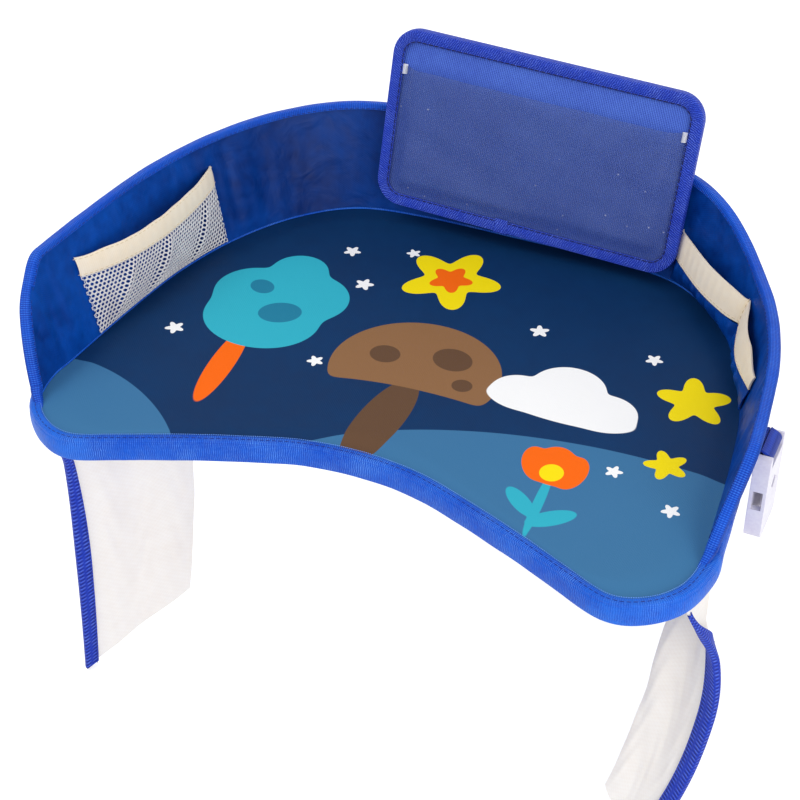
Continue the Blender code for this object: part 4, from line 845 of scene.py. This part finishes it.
def build_rim():
    """The folded tape round the board, with the crease along its front and uneven filling."""
    lengths = np.linspace(0.0, EDGE.perimeter, 520, endpoint=False)
    plan = EDGE.offset(lengths, BOARD_EDGE_REACH)
    out = EDGE.outward(lengths)
    points, into = at_level(plan, BOARD_TOP_Z / 2), at_level(-out, 0.0)
    half = BOARD_TOP_Z / 2 + FIT_GAP + RIM_TAPE_THICKNESS
    sections = []
    for length, reach in zip(lengths, rim_reach(lengths)):
        crown = reach - BOARD_EDGE_REACH
        flat = min(RIM_FLAT_REACH - BOARD_EDGE_REACH, 0.8 * crown)
        section = fold_section(BOARD_TOP_Z, RIM_TAPE_THICKNESS, BOARD_EDGE_REACH, FIT_GAP, crown, flat, steps=28)
        outer = section[:, 0] < -FIT_GAP * 2
        share = section[:, 1] / half
        groove = 0.0004 * np.exp(-((share - 0.72) / 0.08) ** 2) - 0.0003 * np.exp(-((share + 0.1) / 0.5) ** 2)
        pull = 0.00025 * waver(length * 1.3, 2.0) + 0.00012 * math.sin(length * 2 * math.pi / 0.0068) * (share > 0.3)
        section[:, 0] += np.where(outer, groove + pull, 0.0)
        sections.append(section)
    rim = sweep("rim_tape", points, into, (0.0, 0.0, 1.0), sections, RIM_TAPE, "tray", "blue_tape", "rim_binding",
                closed=True)
    # Painted highlight: this attribute marks the tight corners, where the rim tape takes a paler tone.
    turn = np.linalg.norm(np.roll(out, -1, axis=0) - np.roll(out, 1, axis=0), axis=1)
    corner_highlight = np.repeat(smooth_step((turn / np.median(turn) - 1.0) / 4.0), len(sections[0]))
    rim.data.attributes.new("corner_highlight", "FLOAT", "POINT").data.foreach_set("value", corner_highlight)
    seam = EDGE.offset(lengths, 0.0027 + 0.00015 * waver(lengths * 2.0, 1.0))
    lip = EDGE.offset(lengths, -FIT_GAP + 0.0001 * waver(lengths * 3.0, 5.0))
    stitches("rim_stitches", [at_level(seam, RIM_TOP_Z + THREAD_LIFT)], DARK_THREAD, "tray", "blue_tape")
    open_edge = (lengths > RIGHT_WALL_END) & (lengths < EDGE.perimeter - LEFT_WALL_END)
    stitches("rim_lip_threads", [at_level(lip, RIM_TOP_Z + THREAD_LIFT / 2)[open_edge]], FRAYED_THREAD, "tray",
             "blue_tape", pitch=0.0012, length=0.0010, radius=0.00024)


def wall_ripple(length, height):
    """Soft upright wrinkles in the wall's inner cloth, calmer where the pockets are sewn on."""
    share = height / WALL_HEIGHT
    lean = 0.020 * waver(length * 0.4, 5.0) * share
    broad = 0.5 + 0.5 * np.sin((length + lean) * 2 * math.pi / 0.031 + 2.0 * waver(length, 4.0))
    fine = 0.5 + 0.5 * np.sin((length - lean) * 2 * math.pi / 0.0115 + 3.0 * waver(length * 0.7, 6.0))
    strength = 0.35 + 0.65 * smooth_step((np.abs(waver(length * 0.35, 8.0)) - 0.1) / 0.5)
    swell = np.sin(np.clip(share, 0.0, 1.0) * math.pi) ** 0.7
    pocketed = np.maximum(*[
        smooth_step((0.006 + (end - start) / 2 - np.abs(side * length - (start + end) / 2)) / 0.006)
        for side, start, end in ((-1, NET_START, NET_END), (1, POUCH_START, POUCH_END))
    ])
    low = pocketed * smooth_step((NET_HEIGHT + NET_HEM_HEIGHT - height) / 0.004)
    return (0.0016 * broad ** 2 + 0.0006 * fine) * strength * swell * (1.0 - 0.75 * low)


def build_wall():
    """The wall's inner and outer cloth, and the tape folded over its top and sewn down."""
    columns, rows = 560, 20
    lengths = np.linspace(-1.0, 1.0, columns)
    eased = np.sign(lengths) * (1.0 - (1.0 - np.abs(lengths)) ** 1.25)
    lengths = eased * np.where(lengths > 0.0, RIGHT_WALL_END, LEFT_WALL_END)
    share = np.linspace(0.0, 1.0, rows)[:, None]
    lean = wall_lean(lengths)

    def layer(depth, ripple=0.0):
        foot = -depth * np.sin(lean)
        height = foot + (wall_height(lengths) - foot) * share
        return wall_place(lengths, height, depth + ripple * wall_ripple(lengths, height))

    size = (LEFT_WALL_END + RIGHT_WALL_END, WALL_HEIGHT)
    slab("wall_inside", layer(0.0, 1.0), layer(-WALL_CORE_DEPTH), size, NYLON, "tray", "blue_cloth",
         "wall_inner_cloth", "wall_stiffener")
    slab("wall_outside", layer(-WALL_CORE_DEPTH - FIT_GAP), layer(-WALL_TOTAL_THICKNESS, -0.5), size, UNDER_NYLON,
         "tray", "blue_cloth", "wall_outer_cloth")

    ends = np.linspace(0.0, TAPE_END_RUN, 10)[1:]
    lengths = np.concatenate([-LEFT_WALL_END - ends[::-1], lengths, RIGHT_WALL_END + ends])
    past = np.maximum(np.where(lengths > 0.0, lengths - RIGHT_WALL_END, -lengths - LEFT_WALL_END), 0.0) / TAPE_END_RUN
    heights = wall_height(lengths) - (WALL_END_HEIGHT + 2 * TOP_TAPE_CROWN) * smooth_step(past)
    tops = wall_place(lengths, heights, -WALL_TOTAL_THICKNESS / 2 * (1.0 - 0.5 * past))
    lean = wall_lean(lengths)
    along = unit(np.gradient(tops, axis=0))
    out = EDGE.outward(lengths)
    level = np.stack([out[:, 1], -out[:, 0], np.zeros(len(lengths))], -1)
    slope = unit(np.stack([out[:, 0] * np.tan(lean), out[:, 1] * np.tan(lean), np.ones(len(lengths))], -1))
    across = unit(np.cross(slope, level))
    across *= np.sign((across[:, :2] * out).sum(-1))[:, None]
    into = unit(np.cross(across, along))
    into *= -np.sign(into[:, 2:])
    half = WALL_TOTAL_THICKNESS / 2 + TOP_TAPE_SLACK + TOP_TAPE_THICKNESS
    thin = 1.0 - 0.45 * past[:, None, None] * np.array([0.0, 1.0])
    puff = 1.0 + 0.05 * waver(lengths * 1.7, 4.0)[:, None, None] * np.array([1.0, 0.6])
    for name, reach, start, stop, finish, slot in (
        ("wall_top_tape", 0.0, -90.0, 18.0, TOP_TAPE, "blue_tape"),
        ("wall_top_edge", 0.0004, 12.0, 90.0, UNDER_NYLON, "blue_cloth"),
    ):
        section = turned_edge(half - reach, TOP_TAPE_CROWN - reach, FIT_GAP, TOP_TAPE_DEPTH, TOP_TAPE_THICKNESS - reach,
                              start, stop)
        sweep(name, tops, into, across, section * thin * puff, finish, "tray", slot, "wall_top_binding")
    stitched = heights > 3 * TOP_TAPE_DEPTH
    seam = tops + into * (TOP_TAPE_DEPTH - TOP_SEAM_INSET)
    lines = [(seam + across * reach)[stitched] for reach in (-half * 1.01 - 0.00005, half * 1.01 - 0.00035)]
    stitches("wall_top_stitches", lines, DARK_THREAD, "tray", "blue_tape")


def swell(share, roundness):
    return np.sin(math.pi * np.clip(share, 0.0, 1.0)) ** roundness


def rise(share):
    return np.sin(math.pi / 2 * np.clip(share, 0.0, 1.0)) ** 0.8


def net_depth(u, v):
    return POCKET_CLEARANCE + 0.0005 + NET_BULGE * swell(u, 0.75) * rise(v)


def net_top(u):
    return NET_HEIGHT - NET_DIP * swell(u, 0.75)


def net_place(u, v):
    """A place on the net, with its slanting puckers."""
    length = -(NET_START + (NET_END - NET_START) * u)
    height = POCKET_FOOT + (net_top(u) - POCKET_FOOT) * v
    slant = u + 0.16 * v
    folds = sum(share * np.exp(-((slant - middle) / half) ** 2) for middle, half, share in NET_PUCKERS)
    pucker = NET_PUCKER_DEPTH * folds * np.sin(math.pi * v) ** 0.8 * swell(u, 0.5)
    return wall_place(length, height, net_depth(u, v) + pucker)


def elastic_band(name, grid, size, node):
    """A pocket's elastic edge; gives back the places just in front of it, where its threads lie."""
    sheet(name, grid, ELASTIC_THICKNESS, size, ELASTIC, "tray", "beige_elastic", node)
    normals = grid_normals(grid)
    middle = grid.shape[0] // 2, grid.shape[1] // 2
    inward = np.dot(normals[middle], np.array([0.0, 0.03, 0.2]) - grid[middle]) > 0
    return grid + normals * (ELASTIC_THICKNESS / 2 + THREAD_STAND_OFF) * (1.0 if inward else -1.0)


def build_net_pocket():
    """The knitted pocket on the left: rows of six-sided cells, its elastic band and the seams at its sides."""
    width = NET_END - NET_START
    columns, rows = round(width / NET_CELL_WIDTH), round(NET_HEIGHT / NET_CELL_HEIGHT)
    points, index, faces = [], {}, []

    def corner(x, y):
        key = (round(x * 12), round(y * 12))
        if key not in index:
            index[key] = len(points)
            points.append((min(max(x / columns, 0.0), 1.0), min(max(y / rows, 0.0), 1.0)))
        return index[key]

    ring = [(-0.5, -1 / 3), (-0.25, -0.5), (0.0, -2 / 3), (0.25, -0.5), (0.5, -1 / 3), (0.5, 0.0),
            (0.5, 1 / 3), (0.25, 0.5), (0.0, 2 / 3), (-0.25, 0.5), (-0.5, 1 / 3), (-0.5, 0.0)]
    for row in range(rows):
        shift = 0.5 if row % 2 else 0.0
        for column in range(columns - (row % 2)):
            middle_x, middle_y = column + 0.5 + shift, row + 0.5
            faces.append([corner(middle_x + x, middle_y + y) for x, y in ring])
    shares = np.array(points)
    mesh = bpy.data.meshes.new("net_cells")
    mesh.from_pydata([tuple(p) for p in net_place(shares[:, 0], shares[:, 1])], [], faces)
    layer = mesh.uv_layers.new(name="cloth")
    order = np.array([vertex for face in faces for vertex in face])
    layer.data.foreach_set("uv", (shares[order] * (width, NET_HEIGHT)).ravel())
    net = grow("net_pocket", NET, mesh, NET_YARN, "tray", "grey_net", "mesh_pocket_net",
               **{"Hole Share": NET_HOLE_SHARE})
    thickness = net.modifiers.new("yarn", "SOLIDIFY")
    thickness.thickness = NET_YARN_THICKNESS
    thickness.offset = 0.0

    u, v = across_and_up(12, 180)
    gather = 0.00012 * np.sin(u * 2 * math.pi * 17 + 2 * waver(u * 0.1, 1.0)) * np.cos(math.pi * (v - 0.5))
    scallop = 0.0004 * waver(u * width * 2.0, 3.0)
    height = net_top(u) + FIT_GAP + NET_HEM_HEIGHT * v + scallop * v
    grid = wall_place(-(NET_START + width * u), height, net_depth(u, 1.0) + gather + 0.0006 * (1 - v) * v * 4)
    front = elastic_band("net_hem", grid, (width, NET_HEM_HEIGHT), "mesh_pocket_hem")
    stitches("net_hem_stitches", [front[1], front[-2]], BEIGE_THREAD, "tray", "beige_elastic")
    sides = []
    for share in (0.004, 0.996):
        on_wall, off_wall = wall_place(-(NET_START + width * share), POCKET_FOOT, np.array([0.0, 1.0]))
        line = net_place(np.full(24, share), np.linspace(0.02, 1.0, 24))
        sides.append(line + (off_wall - on_wall) * NET_YARN_THICKNESS)
    stitches("net_side_stitches", sides, PALE_THREAD, "tray", "grey_net")


def pouch_share(length):
    first = (length - POUCH_START) / (POUCH_DIVISION - POUCH_START)
    second = (length - POUCH_DIVISION) / (POUCH_END - POUCH_DIVISION)
    return np.where(length < POUCH_DIVISION, first, second)


def pouch_depth(length, v):
    bulge = np.where(length < POUCH_DIVISION, *POUCH_BULGES)
    roundness = np.where(length < POUCH_DIVISION, *POUCH_ROUNDNESS)
    return POCKET_CLEARANCE + 0.0005 + bulge * swell(pouch_share(length), roundness) * rise(v)


def pouch_top(length):
    return POUCH_HEIGHT - POUCH_DIP * swell(pouch_share(length), 1.1)


def build_pouch():
    """The pleated pocket on the right, divided in two by a seam, under one elastic band."""
    run = POUCH_END - POUCH_START
    u, v = across_and_up(18, POUCH_COLUMNS)
    length = POUCH_START + run * u
    wander = u + 0.010 * np.sin(u * 23.0 + 1.0) + 0.006 * np.sin(v * 5.0 + u * 9.0)
    pleat = (0.5 - 0.5 * np.cos(2 * math.pi * POUCH_PLEATS * wander)) ** 1.4 * 2 * POUCH_PLEAT_DEPTH
    small = 0.0004 * np.sin(2 * math.pi * POUCH_PLEATS * 2.3 * wander + 1.0)
    height = POCKET_FOOT + (pouch_top(length) - POCKET_FOOT) * v
    pleats = (pleat + small) * v ** 0.8 * (1.0 - 0.6 * smooth_step((v - 0.6) / 0.4))
    grid = wall_place(length, height, pouch_depth(length, v) + pleats)
    flat = (run * POUCH_FULLNESS, POUCH_HEIGHT)
    pouch = sheet("pouch", grid, 0.0008, flat, NYLON, "tray", "blue_cloth", "pouch_cloth")

    u, v = across_and_up(12, POUCH_COLUMNS)
    gather = 0.00012 * np.sin(u * 2 * math.pi * 19) * np.cos(math.pi * (v - 0.5))
    closing = 1.0 - 0.5 * smooth_step((length - POUCH_END) / 0.020 + 1.0)
    height = pouch_top(length) + FIT_GAP + POUCH_HEM_HEIGHT * v * closing
    pinch = np.exp(-((length - POUCH_DIVISION) / 0.006) ** 2)
    height = height + pinch * 0.0016 * (0.5 - v)
    grid = wall_place(length, height, pouch_depth(length, 1.0) + gather + 0.0005 * (1 - v) * v * 4)
    front = elastic_band("pouch_elastic", grid, (run, POUCH_HEM_HEIGHT), "pouch_hem")
    division = round((POUCH_DIVISION - POUCH_START) / run * (POUCH_COLUMNS - 1))
    stitches("pouch_stitches", [front[1], front[:, division]], BEIGE_THREAD, "tray", "beige_elastic")


def holder_stand_off():
    """Distance from the wall's middle to the holder's back: its ends clear the wall's curve and top tape."""
    end_x = HOLDER_X + HOLDER_WIDTH / 2 + HOLDER_CROWN
    strip_y, end_y = (EDGE.back_y(x) for x in (STRIP_HALF_LENGTH, end_x))
    lips = HOLDER_TAPE + FIT_GAP + WALL_TAPE_LIP
    return (strip_y - end_y) * math.cos(WALL_LEAN) + lips + HOLDER_WALL_CLEARANCE


STAND_OFF = holder_stand_off()
STRIP_THICKNESS = (STAND_OFF - 3 * FIT_GAP) / 2


def holder_frame():
    """Where the holder stands: tilted along the leaning back wall, clear of its top tape."""
    front = Vector((0.0, -math.cos(WALL_LEAN), math.sin(WALL_LEAN)))
    up = Vector((0.0, math.sin(WALL_LEAN), math.cos(WALL_LEAN)))
    right = front.cross(up) * -1.0
    x_axis = right * math.cos(HOLDER_TILT) + up * math.sin(HOLDER_TILT)
    y_axis = front.cross(x_axis)
    on_wall = Vector(wall_place(STRIP_HALF_LENGTH, STRIP_HEIGHT)) + front * STAND_OFF
    centre = on_wall + up * ((HOLDER_Z - on_wall.z) / up.z)
    centre.x = HOLDER_X
    return Matrix.Translation(centre) @ Matrix((x_axis, y_axis, front)).transposed().to_4x4()


HOLDER = np.array(holder_frame())


def on_holder(places):
    """Places in the holder's own frame, taken to where it stands."""
    return np.asarray(places) @ HOLDER[:3, :3].T + HOLDER[:3, 3]


def rounded_loop(half_width, half_height, radius, count):
    """Points and inward directions evenly spaced round a rounded rectangle, from the middle of its foot."""
    wide, high = half_width - radius, half_height - radius
    straight = np.array([wide, 2 * high, 2 * wide, 2 * high, wide])
    starts = ((0.0, -half_height), (half_width, -high), (wide, half_height), (-half_width, high), (-wide, -half_height))
    arc = math.pi / 2 * radius
    points, inward = [], []
    for place in np.linspace(0.0, straight.sum() + 4 * arc, count, endpoint=False):
        side = 0
        while side < 4 and place > straight[side] + arc:
            place -= straight[side] + arc
            side += 1
        turn = math.pi / 2 * side
        along, inside = np.array([math.cos(turn), math.sin(turn)]), np.array([-math.sin(turn), math.cos(turn)])
        angle = max(place - straight[side], 0.0) / radius
        direction = inside * math.cos(angle) - along * math.sin(angle)
        centre = np.array(starts[side]) + along * min(place, straight[side]) + inside * radius
        points.append(centre - direction * radius)
        inward.append(direction)
    return np.array(points), np.array(inward)


def build_holder_panel(loop):
    """The holder's board: a ringed face and back that meet round its edge."""
    count, rings = len(loop), 10
    plan = loop[None] * np.linspace(1.0, 0.0, rings, endpoint=False)[:, None, None]
    middle = [[0.0, 0.0, HOLDER_FACE], [0.0, 0.0, 0.0]]
    places = np.concatenate([*(at_level(plan, level).reshape(-1, 3) for level in (HOLDER_FACE, 0.0)), middle])
    row, column = quads(rings, count, wrap_columns=True)
    face = row * count + column % count
    here = np.arange(count)
    after, last, back = (here + 1) % count, (rings - 1) * count, rings * count
    peak = 2 * rings * count + 0 * here
    faces = [*face, *(face[:, ::-1] + back), *np.stack([here, after, back + after, back + here], -1)]
    for level, centre in ((last, peak), (back + last, peak + 1)):
        faces += [*np.stack([level + here, level + after, centre], -1)]
    piece("holder_panel", on_holder(places), faces, [places[face, :2] for face in faces], HOLDER_TWILL,
          "device_holder", "blue_cloth", "holder_back_cloth", "holder_stiffener", "holder_face_cloth")


def build_film():
    """The clear pocket's film, raised inside its bound edges, with tacks at the ends of its mouth."""
    margin = FIT_GAP * 2
    low, high = -HOLDER_HEIGHT / 2 + margin, HOLDER_HEIGHT / 2 - FILM_MOUTH
    film_level = HOLDER_FACE + FIT_GAP + FILM_THICKNESS / 2
    u, v = across_and_up(70, 120)
    y = low + (high - low) * v
    inset = np.maximum(HOLDER_CORNER - margin - (y - low), 0.0)
    inset = HOLDER_CORNER - np.sqrt(np.maximum(HOLDER_CORNER ** 2 - inset ** 2, 0.0))
    x = (u - 0.5) * (HOLDER_WIDTH - 2 * margin)
    x = np.sign(x) * np.maximum(np.abs(x) - inset * np.abs(2 * u - 1), 0.0)
    side = smooth_step((HOLDER_WIDTH / 2 - inset - np.abs(x) - HOLDER_TAPE_DEPTH) / FILM_RISE)
    foot = smooth_step((y - low - HOLDER_TAPE_DEPTH) / FILM_RISE)
    sag = 0.0007 * (waver(x * 1.2, 3.0) + waver(y * 1.5 + x * 0.5, 7.0)) * side * foot
    z = film_level + (FILM_DEPTH - 0.0012 - film_level) * side * foot + sag
    grid = on_holder(np.stack(np.broadcast_arrays(x, y, z), -1))
    film = sheet("holder_film", grid, FILM_THICKNESS, (HOLDER_WIDTH, high - low), FILM, "device_holder", "clear_film",
                 "holder_window")

    half, level = 0.0012, film_level + 0.0006
    end = HOLDER_WIDTH / 2 - HOLDER_TAPE_DEPTH - half
    tacks = [on_holder([(x - half, y, level), (x + half, y + 0.0002, level)])
             for x in (-end, end) for y in high - 0.0052 + 0.0007 * np.arange(9)]
    stitches("film_tacks", tacks, PALE_THREAD, "device_holder", "blue_tape", pitch=0.0012, length=0.0017,
             radius=0.00036)


def build_holder():
    """The device holder: its board, the tape round it, the tape's overlapping end and the film."""
    loop, inward = rounded_loop(HOLDER_WIDTH / 2, HOLDER_HEIGHT / 2, HOLDER_CORNER, 240)
    build_holder_panel(loop)
    up, front = HOLDER[:3, 1], HOLDER[:3, 2]
    look = HOLDER_BINDING, "device_holder", "blue_tape"

    core = HOLDER_FACE + FIT_GAP + FILM_THICKNESS
    section = fold_section(core, HOLDER_TAPE, HOLDER_TAPE_DEPTH, FIT_GAP, HOLDER_CROWN, FIT_GAP)
    into = at_level(inward, 0.0) @ HOLDER[:3, :3].T
    edge = on_holder(at_level(loop, core / 2))
    sweep("holder_tape", edge, into, front, section, *look, "holder_binding", closed=True)
    seam = loop + inward * (HOLDER_TAPE_DEPTH - HOLDER_SEAM_INSET)
    lift = FIT_GAP + HOLDER_TAPE + THREAD_LIFT
    lines = [on_holder(at_level(np.concatenate([seam, seam[:1]]), level)) for level in (core + lift, -lift)]
    # Near-black thread almost end to end: the real seam, and also a painted shadow line along the tape's inner edge.
    stitches("holder_stitches", lines, SEAM_AND_SHADOW_THREAD, "device_holder", "blue_tape", pitch=0.0038, length=0.0036,
             radius=0.00040)

    places = np.array([(x, -HOLDER_HEIGHT / 2, core / 2) for x in np.linspace(-0.0165, -0.0085, 12)])
    end = fold_section(core + 2 * HOLDER_TAPE, 0.0007, HOLDER_TAPE_DEPTH + 0.0012, FIT_GAP, HOLDER_CROWN + 0.0008,
                       FIT_GAP)
    sweep("holder_tape_end", on_holder(places), up, front, end, *look)
    build_film()


def build_strips():
    """The two strips that hold the holder, one on the wall and one on its back."""
    u, v = across_and_up(12, 60)
    size = (2 * STRIP_HALF_LENGTH, STRIP_WIDTH)
    x, y = np.broadcast_arrays(STRIP_HALF_LENGTH * (2 * u - 1), STRIP_WIDTH * (v - 0.5))
    loops = [wall_place(x, STRIP_HEIGHT + y, FIT_GAP + depth) for depth in (STRIP_THICKNESS, 0.0)]
    slab("wall_loops", *loops, size, FUZZ, "tray", "hook_loop", "wall_loop_strip")
    centre = HOLDER[:3, :3].T @ (wall_place(0.0, STRIP_HEIGHT) - HOLDER[:3, 3])
    cosine, sine = math.cos(-HOLDER_TILT), math.sin(-HOLDER_TILT)
    plan = np.stack([centre[0] + x * cosine - y * sine, centre[1] + x * sine + y * cosine], -1)
    hooks = [on_holder(at_level(plan, level)) for level in (-FIT_GAP, -FIT_GAP - STRIP_THICKNESS)]
    slab("holder_hooks", *hooks, size, FUZZ, "device_holder", "hook_loop", "holder_hook_strip")


FLAP_LEAD, FLAP_LEAD_SHARE, FLAP_FORWARD = 0.017, 0.26, 0.018
FLAP_TAPE_GAP, FLAP_TAPE_CROWN, FLAP_TAPE_TOP = 0.0009, 0.0021, 0.0145
# How each flap hangs: which side, how far its front and rear edges drift out, how far the rear one shifts back, its
# swing and curl outward, how much longer its rear edge is, and the share of its length by which the tape is full
Flap = namedtuple("Flap", "side front_drift rear_drift rear_shift swing curl rear_sag full_share")
FLAPS = {
    "left_flap": Flap(-1, 0.010, 0.040, 0.002, 0.010, 0.0, 0.0, 0.62),
    "right_flap": Flap(1, 0.018, 0.024, 0.040, -0.018, 0.022, 0.010, 0.24),
}


def flap_place(flap, u, v):
    """A place on a hanging flap: u from its bound front edge to the rear, v from the seam down."""
    u, v = np.broadcast_arrays(u, v)
    length = FLAP_FRONT_LENGTH + (FLAP_REAR_LENGTH + flap.rear_sag - FLAP_FRONT_LENGTH) * u
    drift = flap.front_drift - (flap.front_drift + flap.rear_drift) * u
    shift = FLAP_FORWARD - (FLAP_FORWARD + flap.rear_shift) * u
    turn = np.sin(math.pi / 2 * np.minimum(v / FLAP_TURN_SHARE, 1.0))
    past = np.maximum(u - 2.3 * FLAP_TAPE_WIDTH / SEAM_LENGTH, 0.0)
    fold = (1.0 - np.cos(2 * math.pi * FLAP_FOLDS * past)) * FLAP_FOLD_DEPTH * turn
    fold = fold * (1.0 - 0.7 * smooth_step(2 * v - 1.0))
    lead = (1.0 - smooth_step(v / FLAP_LEAD_SHARE)) * np.maximum(1.0 - 1.6 * u, 0.0)
    out = drift * turn + flap.swing * v * v - flap.curl * v ** 4 * (1.0 - 0.8 * u) + fold * 0.6
    bow = 0.008 * u * np.sin(math.pi * v)
    forward = SEAM_FRONT_Y + SEAM_LENGTH * u + shift * turn + fold * 0.5 + bow - FLAP_LEAD * lead
    return np.stack([flap.side * (PANEL_HALF_WIDTH + out), forward, SEAM_Z - length * v], -1)


def build_flap(body, flap):
    """A hanging cloth, bound down its front edge by a tape that twists and narrows towards its top."""
    columns, rows = 90, 130
    u, v = across_and_up(rows, columns)
    grid = flap_place(flap, u, v)
    free = smooth_step((u - 0.14) / 0.1) * smooth_step(v / 0.1)
    crumple = 0.0004 * np.sin(u * 15 + 6 * v + 2 * np.sin(9 * v)) + 0.0002 * np.sin(v * 37 + 5 * np.sin(u * 11))
    crumple = crumple * (1.0 - 0.8 * smooth_step((v - 0.85) / 0.15))
    grid = grid + grid_normals(grid) * (crumple * free)[..., None]
    width, length = (float(np.linalg.norm(np.diff(line, axis=0), axis=1).sum())
                     for line in (grid[rows // 2], grid[:, columns // 2]))
    cloth = sheet(body + "_sheet", grid, FLAP_THICKNESS * 0.7, (width, length), FLAP_CLOTH, body, "white_cloth",
                  body + "_cloth")

    tape_v = np.concatenate([[FLAP_TAPE_TOP], np.linspace(0.02, 1.0, 110)])
    points = flap_place(flap, 0.0, tape_v)
    into = unit(flap_place(flap, 1 / 14, tape_v) - points)
    across = unit(np.cross(unit(np.gradient(points, axis=0)), into))
    section = fold_section(FLAP_THICKNESS, FLAP_TAPE, FLAP_TAPE_WIDTH, FLAP_TAPE_GAP, FLAP_TAPE_CROWN, FIT_GAP)
    slim = 0.62 + 0.38 * smooth_step((tape_v - 0.02) / 0.12)[:, None]
    narrow = 0.34 + 0.66 * smooth_step((tape_v - 0.01) / flap.full_share)[:, None]
    twist = 0.9 * (1.0 - smooth_step(tape_v / 0.20))[:, None]
    flat, thick = section[:, 0] * narrow, section[:, 1] * slim
    sections = np.stack([flat * np.cos(twist) - thick * np.sin(twist),
                         (flat * np.sin(twist) + thick * np.cos(twist)) * slim], -1)
    tape = sweep(body + "_tape", points, into, across, sections, FLAP_BINDING, body, "blue_tape", body + "_binding")
    level = FLAP_THICKNESS / 2 + FLAP_TAPE_GAP + FLAP_TAPE + THREAD_LIFT
    seam = points + into * (FLAP_TAPE_WIDTH - FLAP_SEAM_INSET) * narrow
    lines = [(seam + across * level * face)[tape_v > 0.2] for face in (-1, 1)]
    stitches(body + "_stitches", lines, DARK_THREAD, body, "blue_tape")


def build_tab(name, node, side, bar):
    """A webbing strap: down from its sewn end, round the buckle's bar and back up."""
    low, high = (np.array(corner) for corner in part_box(node))
    radius = BUCKLE_BAR_HALF * math.sqrt(2) + WEBBING_SLACK + WEBBING_THICKNESS / 2
    top = high[2] - bar[2]
    inner = min(side * low[0], side * high[0]) - side * bar[0] + WEBBING_THICKNESS / 2
    outer = inner + WEBBING_THICKNESS
    toward = [math.atan2(top, out) for out in (inner, outer)]
    aside = [math.acos(radius / math.hypot(out, top)) for out in (inner, outer)]
    turns = np.linspace(toward[0] + aside[0], toward[1] - aside[1] + 2 * math.pi, 26)
    round_bar = radius * np.stack([np.cos(turns), np.sin(turns)], -1)
    path = np.concatenate([[(inner, top)], round_bar, [(outer, top)]])
    tangent = unit(np.gradient(path, axis=0))
    normal = np.stack([-tangent[:, 1], tangent[:, 0]], -1)
    share = np.linspace(-0.5, 0.5, 14)[:, None]
    grids = []
    for face in (0.5, -0.5):
        out, up = (path + normal * WEBBING_THICKNESS * face).T
        places = bar[0] + side * out, bar[1] + WEBBING_WIDTH * share, bar[2] + up
        grids.append(np.stack(np.broadcast_arrays(*places), -1))
    slab(name, *grids, (0.05, WEBBING_WIDTH), WEBBING, "tray", "blue_tape", node)


def build_fastening():
    """The webbing straps; the two buckle halves keep their form and take the plastic."""
    build_tab("right_strap", "right_webbing_tab", 1, RIGHT_BAR)
    build_tab("left_strap", "left_webbing_tab", -1, LEFT_BAR)
    for node in ("buckle_socket", "buckle_plug"):
        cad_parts[node].material_slots[0].material = MOULDED


def build_floor():
    """A pale floor just under the part, white to the eye."""
    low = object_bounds()[0].z - 0.0006
    mesh = bpy.data.meshes.new("floor")
    mesh.from_pydata([(-9, -9, low), (9, -9, low), (9, 9, low), (-9, 9, low)], [], [(0, 1, 2, 3)])
    material = bpy.data.materials.new("pale_floor")
    material.use_nodes = True
    tree = material.node_tree
    shader = tree.nodes["Principled BSDF"]
    shader.inputs["Base Color"].default_value = (0.86, 0.86, 0.86, 1.0)
    shader.inputs["Roughness"].default_value = 0.9
    feed(tree, shader.inputs["Emission Color"], blend(tree, seen(tree), (0.0, 0.0, 0.0, 1.0), (1.0, 1.0, 1.0, 1.0)))
    shader.inputs["Emission Strength"].default_value = 0.45
    mesh.materials.append(material)
    link("floor", mesh)


def build_light():
    """An even white room, white to the eye, and three soft lamps."""
    world = bpy.data.worlds.new("studio")
    world.use_nodes = True
    tree = world.node_tree
    background = tree.nodes["Background"]
    feed(tree, background.inputs["Color"], (1.0, 1.0, 1.0, 1.0))
    feed(tree, background.inputs["Strength"], sums(tree, "MULTIPLY_ADD", seen(tree), 0.38, 0.62))
    bpy.context.scene.world = world
    for name, place, size, power in (
        ("key", (-0.9, -0.7, 1.5), 1.2, 11.0),
        ("fill", (1.4, -1.1, 0.6), 1.3, 15.0),
        ("back", (0.2, 1.4, 1.1), 1.2, 4.3),
    ):
        light = bpy.data.lights.new(name, "AREA")
        light.size = size
        light.energy = power
        lamp = link(name, light)
        lamp.location = place
        lamp.rotation_euler = (Vector((0.0, 0.03, 0.0)) - Vector(place)).to_track_quat("-Z", "Y").to_euler()


def build_camera():
    """The photograph's view, fitted to the panel's outline."""
    azimuth, height, roll = math.radians(24.2), math.radians(38.66), math.radians(-0.42)
    back = Vector((math.sin(azimuth) * math.cos(height), -math.cos(azimuth) * math.cos(height), math.sin(height)))
    right = Vector((math.cos(azimuth), math.sin(azimuth), 0.0))
    up = back.cross(right)
    x_axis = right * math.cos(roll) + up * math.sin(roll)
    y_axis = up * math.cos(roll) - right * math.sin(roll)
    data = bpy.data.cameras.new("camera")
    data.lens = 81.0
    data.sensor_width = 36.0
    camera = link("camera", data)
    turn = Matrix((x_axis, y_axis, back)).transposed().to_4x4()
    camera.matrix_world = Matrix.Translation(Vector((-0.0015, 0.0, 0.012)) + back * 1.0062) @ turn
    bpy.context.scene.camera = camera
    bpy.context.scene.view_settings.view_transform = "Standard"


build_board()
build_rim()
build_wall()
build_net_pocket()
build_pouch()
build_holder()
build_strips()
for body, flap in FLAPS.items():
    build_flap(body, flap)
build_fastening()
build_floor()
build_light()
build_camera()
